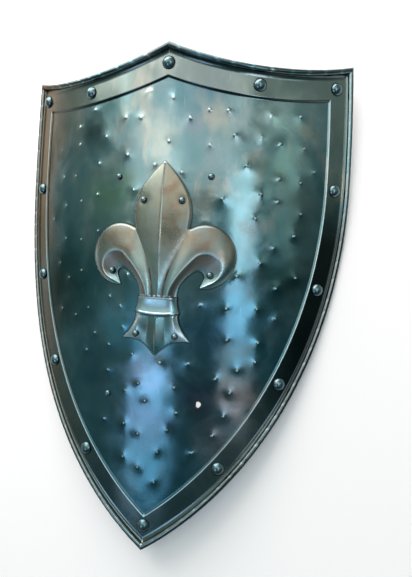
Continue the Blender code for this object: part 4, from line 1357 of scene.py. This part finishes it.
# Lamps: azimuth from +Z towards +X and elevation towards +Y in degrees, width and height in metres,
# brightness and colour
LAMPS = {
    "window": (-10, 25, 2.7, 1.3, 1.25, (1.0, 0.95, 0.93)),
    "left window": (-50, 31, 0.8, 0.5, 2.2, (1.0, 0.95, 0.84)),
    "right window": (45, 11, 0.5, 0.8, 0.9, (0.86, 1.0, 0.92)),
    "window glare": (-20, 13, 0.7, 0.5, 1.2, (1.0, 0.96, 0.90)),
    "upper strip": (25, 5, 0.5, 0.6, 3.6, (0.96, 0.96, 1.0)),
    "lower strip": (25, -9, 0.5, 0.45, 3.9, (0.65, 0.78, 1.0)),
    "strip foot": (26, -21, 0.5, 0.45, 1.6, (0.94, 0.90, 0.97)),
    "blue strip": (-20, -20, 0.55, 0.55, 1.2, (0.57, 0.72, 1.0)),
    "blue haze": (-22, -29, 0.8, 0.8, 2.1, (0.54, 0.73, 1.0)),
    "blue halo": (-21, -12, 0.95, 0.45, 0.35, (0.50, 0.70, 1.0)),
    "key": (-50, 62, 2.4, 2.4, 5.5, (1.0, 0.955, 0.945)),
}
LAMP_DISTANCE = 2.2

# Small lamp that faces the floor under the torn hole
UNDER_PLACE = (47 * MM, -138 * MM, 18 * MM)
UNDER_SIZE = 50 * MM
UNDER_GLOW = 1.2

# Half the floor's side, and the width of the camera's sensor in mm
FLOOR_HALF = 6
SENSOR = 36


def lamp_seat(azimuth, elevation):
    """Where a lamp stands around the shield and faces it."""
    turn = Euler((-math.radians(elevation), math.radians(azimuth), 0), "XYZ").to_matrix().to_4x4()
    return Matrix.Translation(REST_PLACE) @ turn @ Matrix.Translation((0, 0, LAMP_DISTANCE))


def make_lamp(name, seat, width, height, glow, colour):
    """Soft lamp whose power follows from its size and brightness."""
    light = bpy.data.lights.new(name, "AREA")
    light.shape = "RECTANGLE"
    light.size = width
    light.size_y = height
    light.energy = glow * math.pi * width * height
    light.color = colour
    linked(name, light).matrix_world = seat


def grade_room(room, stage):
    """Room with a pale horizon, darker overhead beyond the shield's tip than beyond its peak."""
    direction = room.node("ShaderNodeTexCoord").outputs["Generated"]
    colour = stage.room_low
    for axis, start, end, shade in (((-0.25, 1, 0), -0.38, 0.2, stage.room_high),
                                    ((0, 0, 1), 0.16, 0.02, stage.horizon)):
        along = room.towards("DOT_PRODUCT", direction, axis)
        share = room.node("ShaderNodeMapRange", {"Value": along, "From Min": start, "From Max": end})
        colour = room.blend(share.outputs["Result"], colour, shade)
    room.put(room.nodes["Background"].inputs["Color"], colour)


class SHIELD_OT_stage(bpy.types.Operator):
    """Sets the floor, the lamps and the camera"""

    bl_idname = "shield.stage"
    bl_label = "Stage"

    def execute(self, context):
        settings = context.scene.shield
        stage = settings.stage
        form = bmesh.new()
        bmesh.ops.create_grid(form, x_segments=1, y_segments=1, size=FLOOR_HALF)
        floor = smooth_piece("floor", form)
        floor.data.materials.append(Finish("floor_paper", 0, settings.colours.floor).finish(0.9))
        for name, (azimuth, elevation, width, height, glow, colour) in LAMPS.items():
            make_lamp(name, lamp_seat(azimuth, elevation), width, height, glow * stage.light, colour)
        under = Matrix.Translation(UNDER_PLACE)
        make_lamp("under", under, UNDER_SIZE, UNDER_SIZE, UNDER_GLOW * stage.light, (1.0, 1.0, 1.0))
        world = bpy.data.worlds.new("room")
        world.use_nodes = True
        grade_room(Nodes(world.node_tree), stage)
        context.scene.world = world
        context.scene.view_settings.view_transform = "Standard"
        lens = bpy.data.cameras.new("camera")
        lens.sensor_width = SENSOR
        lens.lens = SENSOR * stage.focal_share
        lens.clip_start = 0.01
        camera = linked("camera", lens)
        view = Matrix.Translation(stage.camera_place) @ Euler(stage.camera_turn, "XYZ").to_matrix().to_4x4()
        camera.matrix_world = REST @ view
        context.scene.camera = camera
        return {"FINISHED"}


class SHIELD_PT_panel(bpy.types.Panel):
    """Steps of the shield's making."""

    bl_idname = "SHIELD_PT_panel"
    bl_label = "Heater Shield"
    bl_space_type = "VIEW_3D"
    bl_region_type = "UI"
    bl_category = "Shield"

    def draw(self, context):
        for step in STEPS:
            self.layout.operator(step.bl_idname)
        for group in ("sheet", "colours", "stage"):
            box = self.layout.box()
            settings = getattr(context.scene.shield, group)
            for name in settings.__annotations__:
                box.prop(settings, name)


STEPS = (SHIELD_OT_plate, SHIELD_OT_fleur, SHIELD_OT_rivets, SHIELD_OT_strap, SHIELD_OT_stage)
CLASSES = (SheetSettings, ColourSettings, StageSettings, ShieldSettings, *STEPS, SHIELD_PT_panel)


def register():
    for kind in CLASSES:
        bpy.utils.register_class(kind)
    bpy.types.Scene.shield = PointerProperty(type=ShieldSettings)


def unregister():
    del bpy.types.Scene.shield
    for kind in reversed(CLASSES):
        bpy.utils.unregister_class(kind)


def main():
    register()
    bpy.ops.shield.plate()
    bpy.ops.shield.fleur()
    bpy.ops.shield.rivets()
    bpy.ops.shield.strap()
    bpy.ops.shield.stage()


if __name__ == "__main__":
    main()
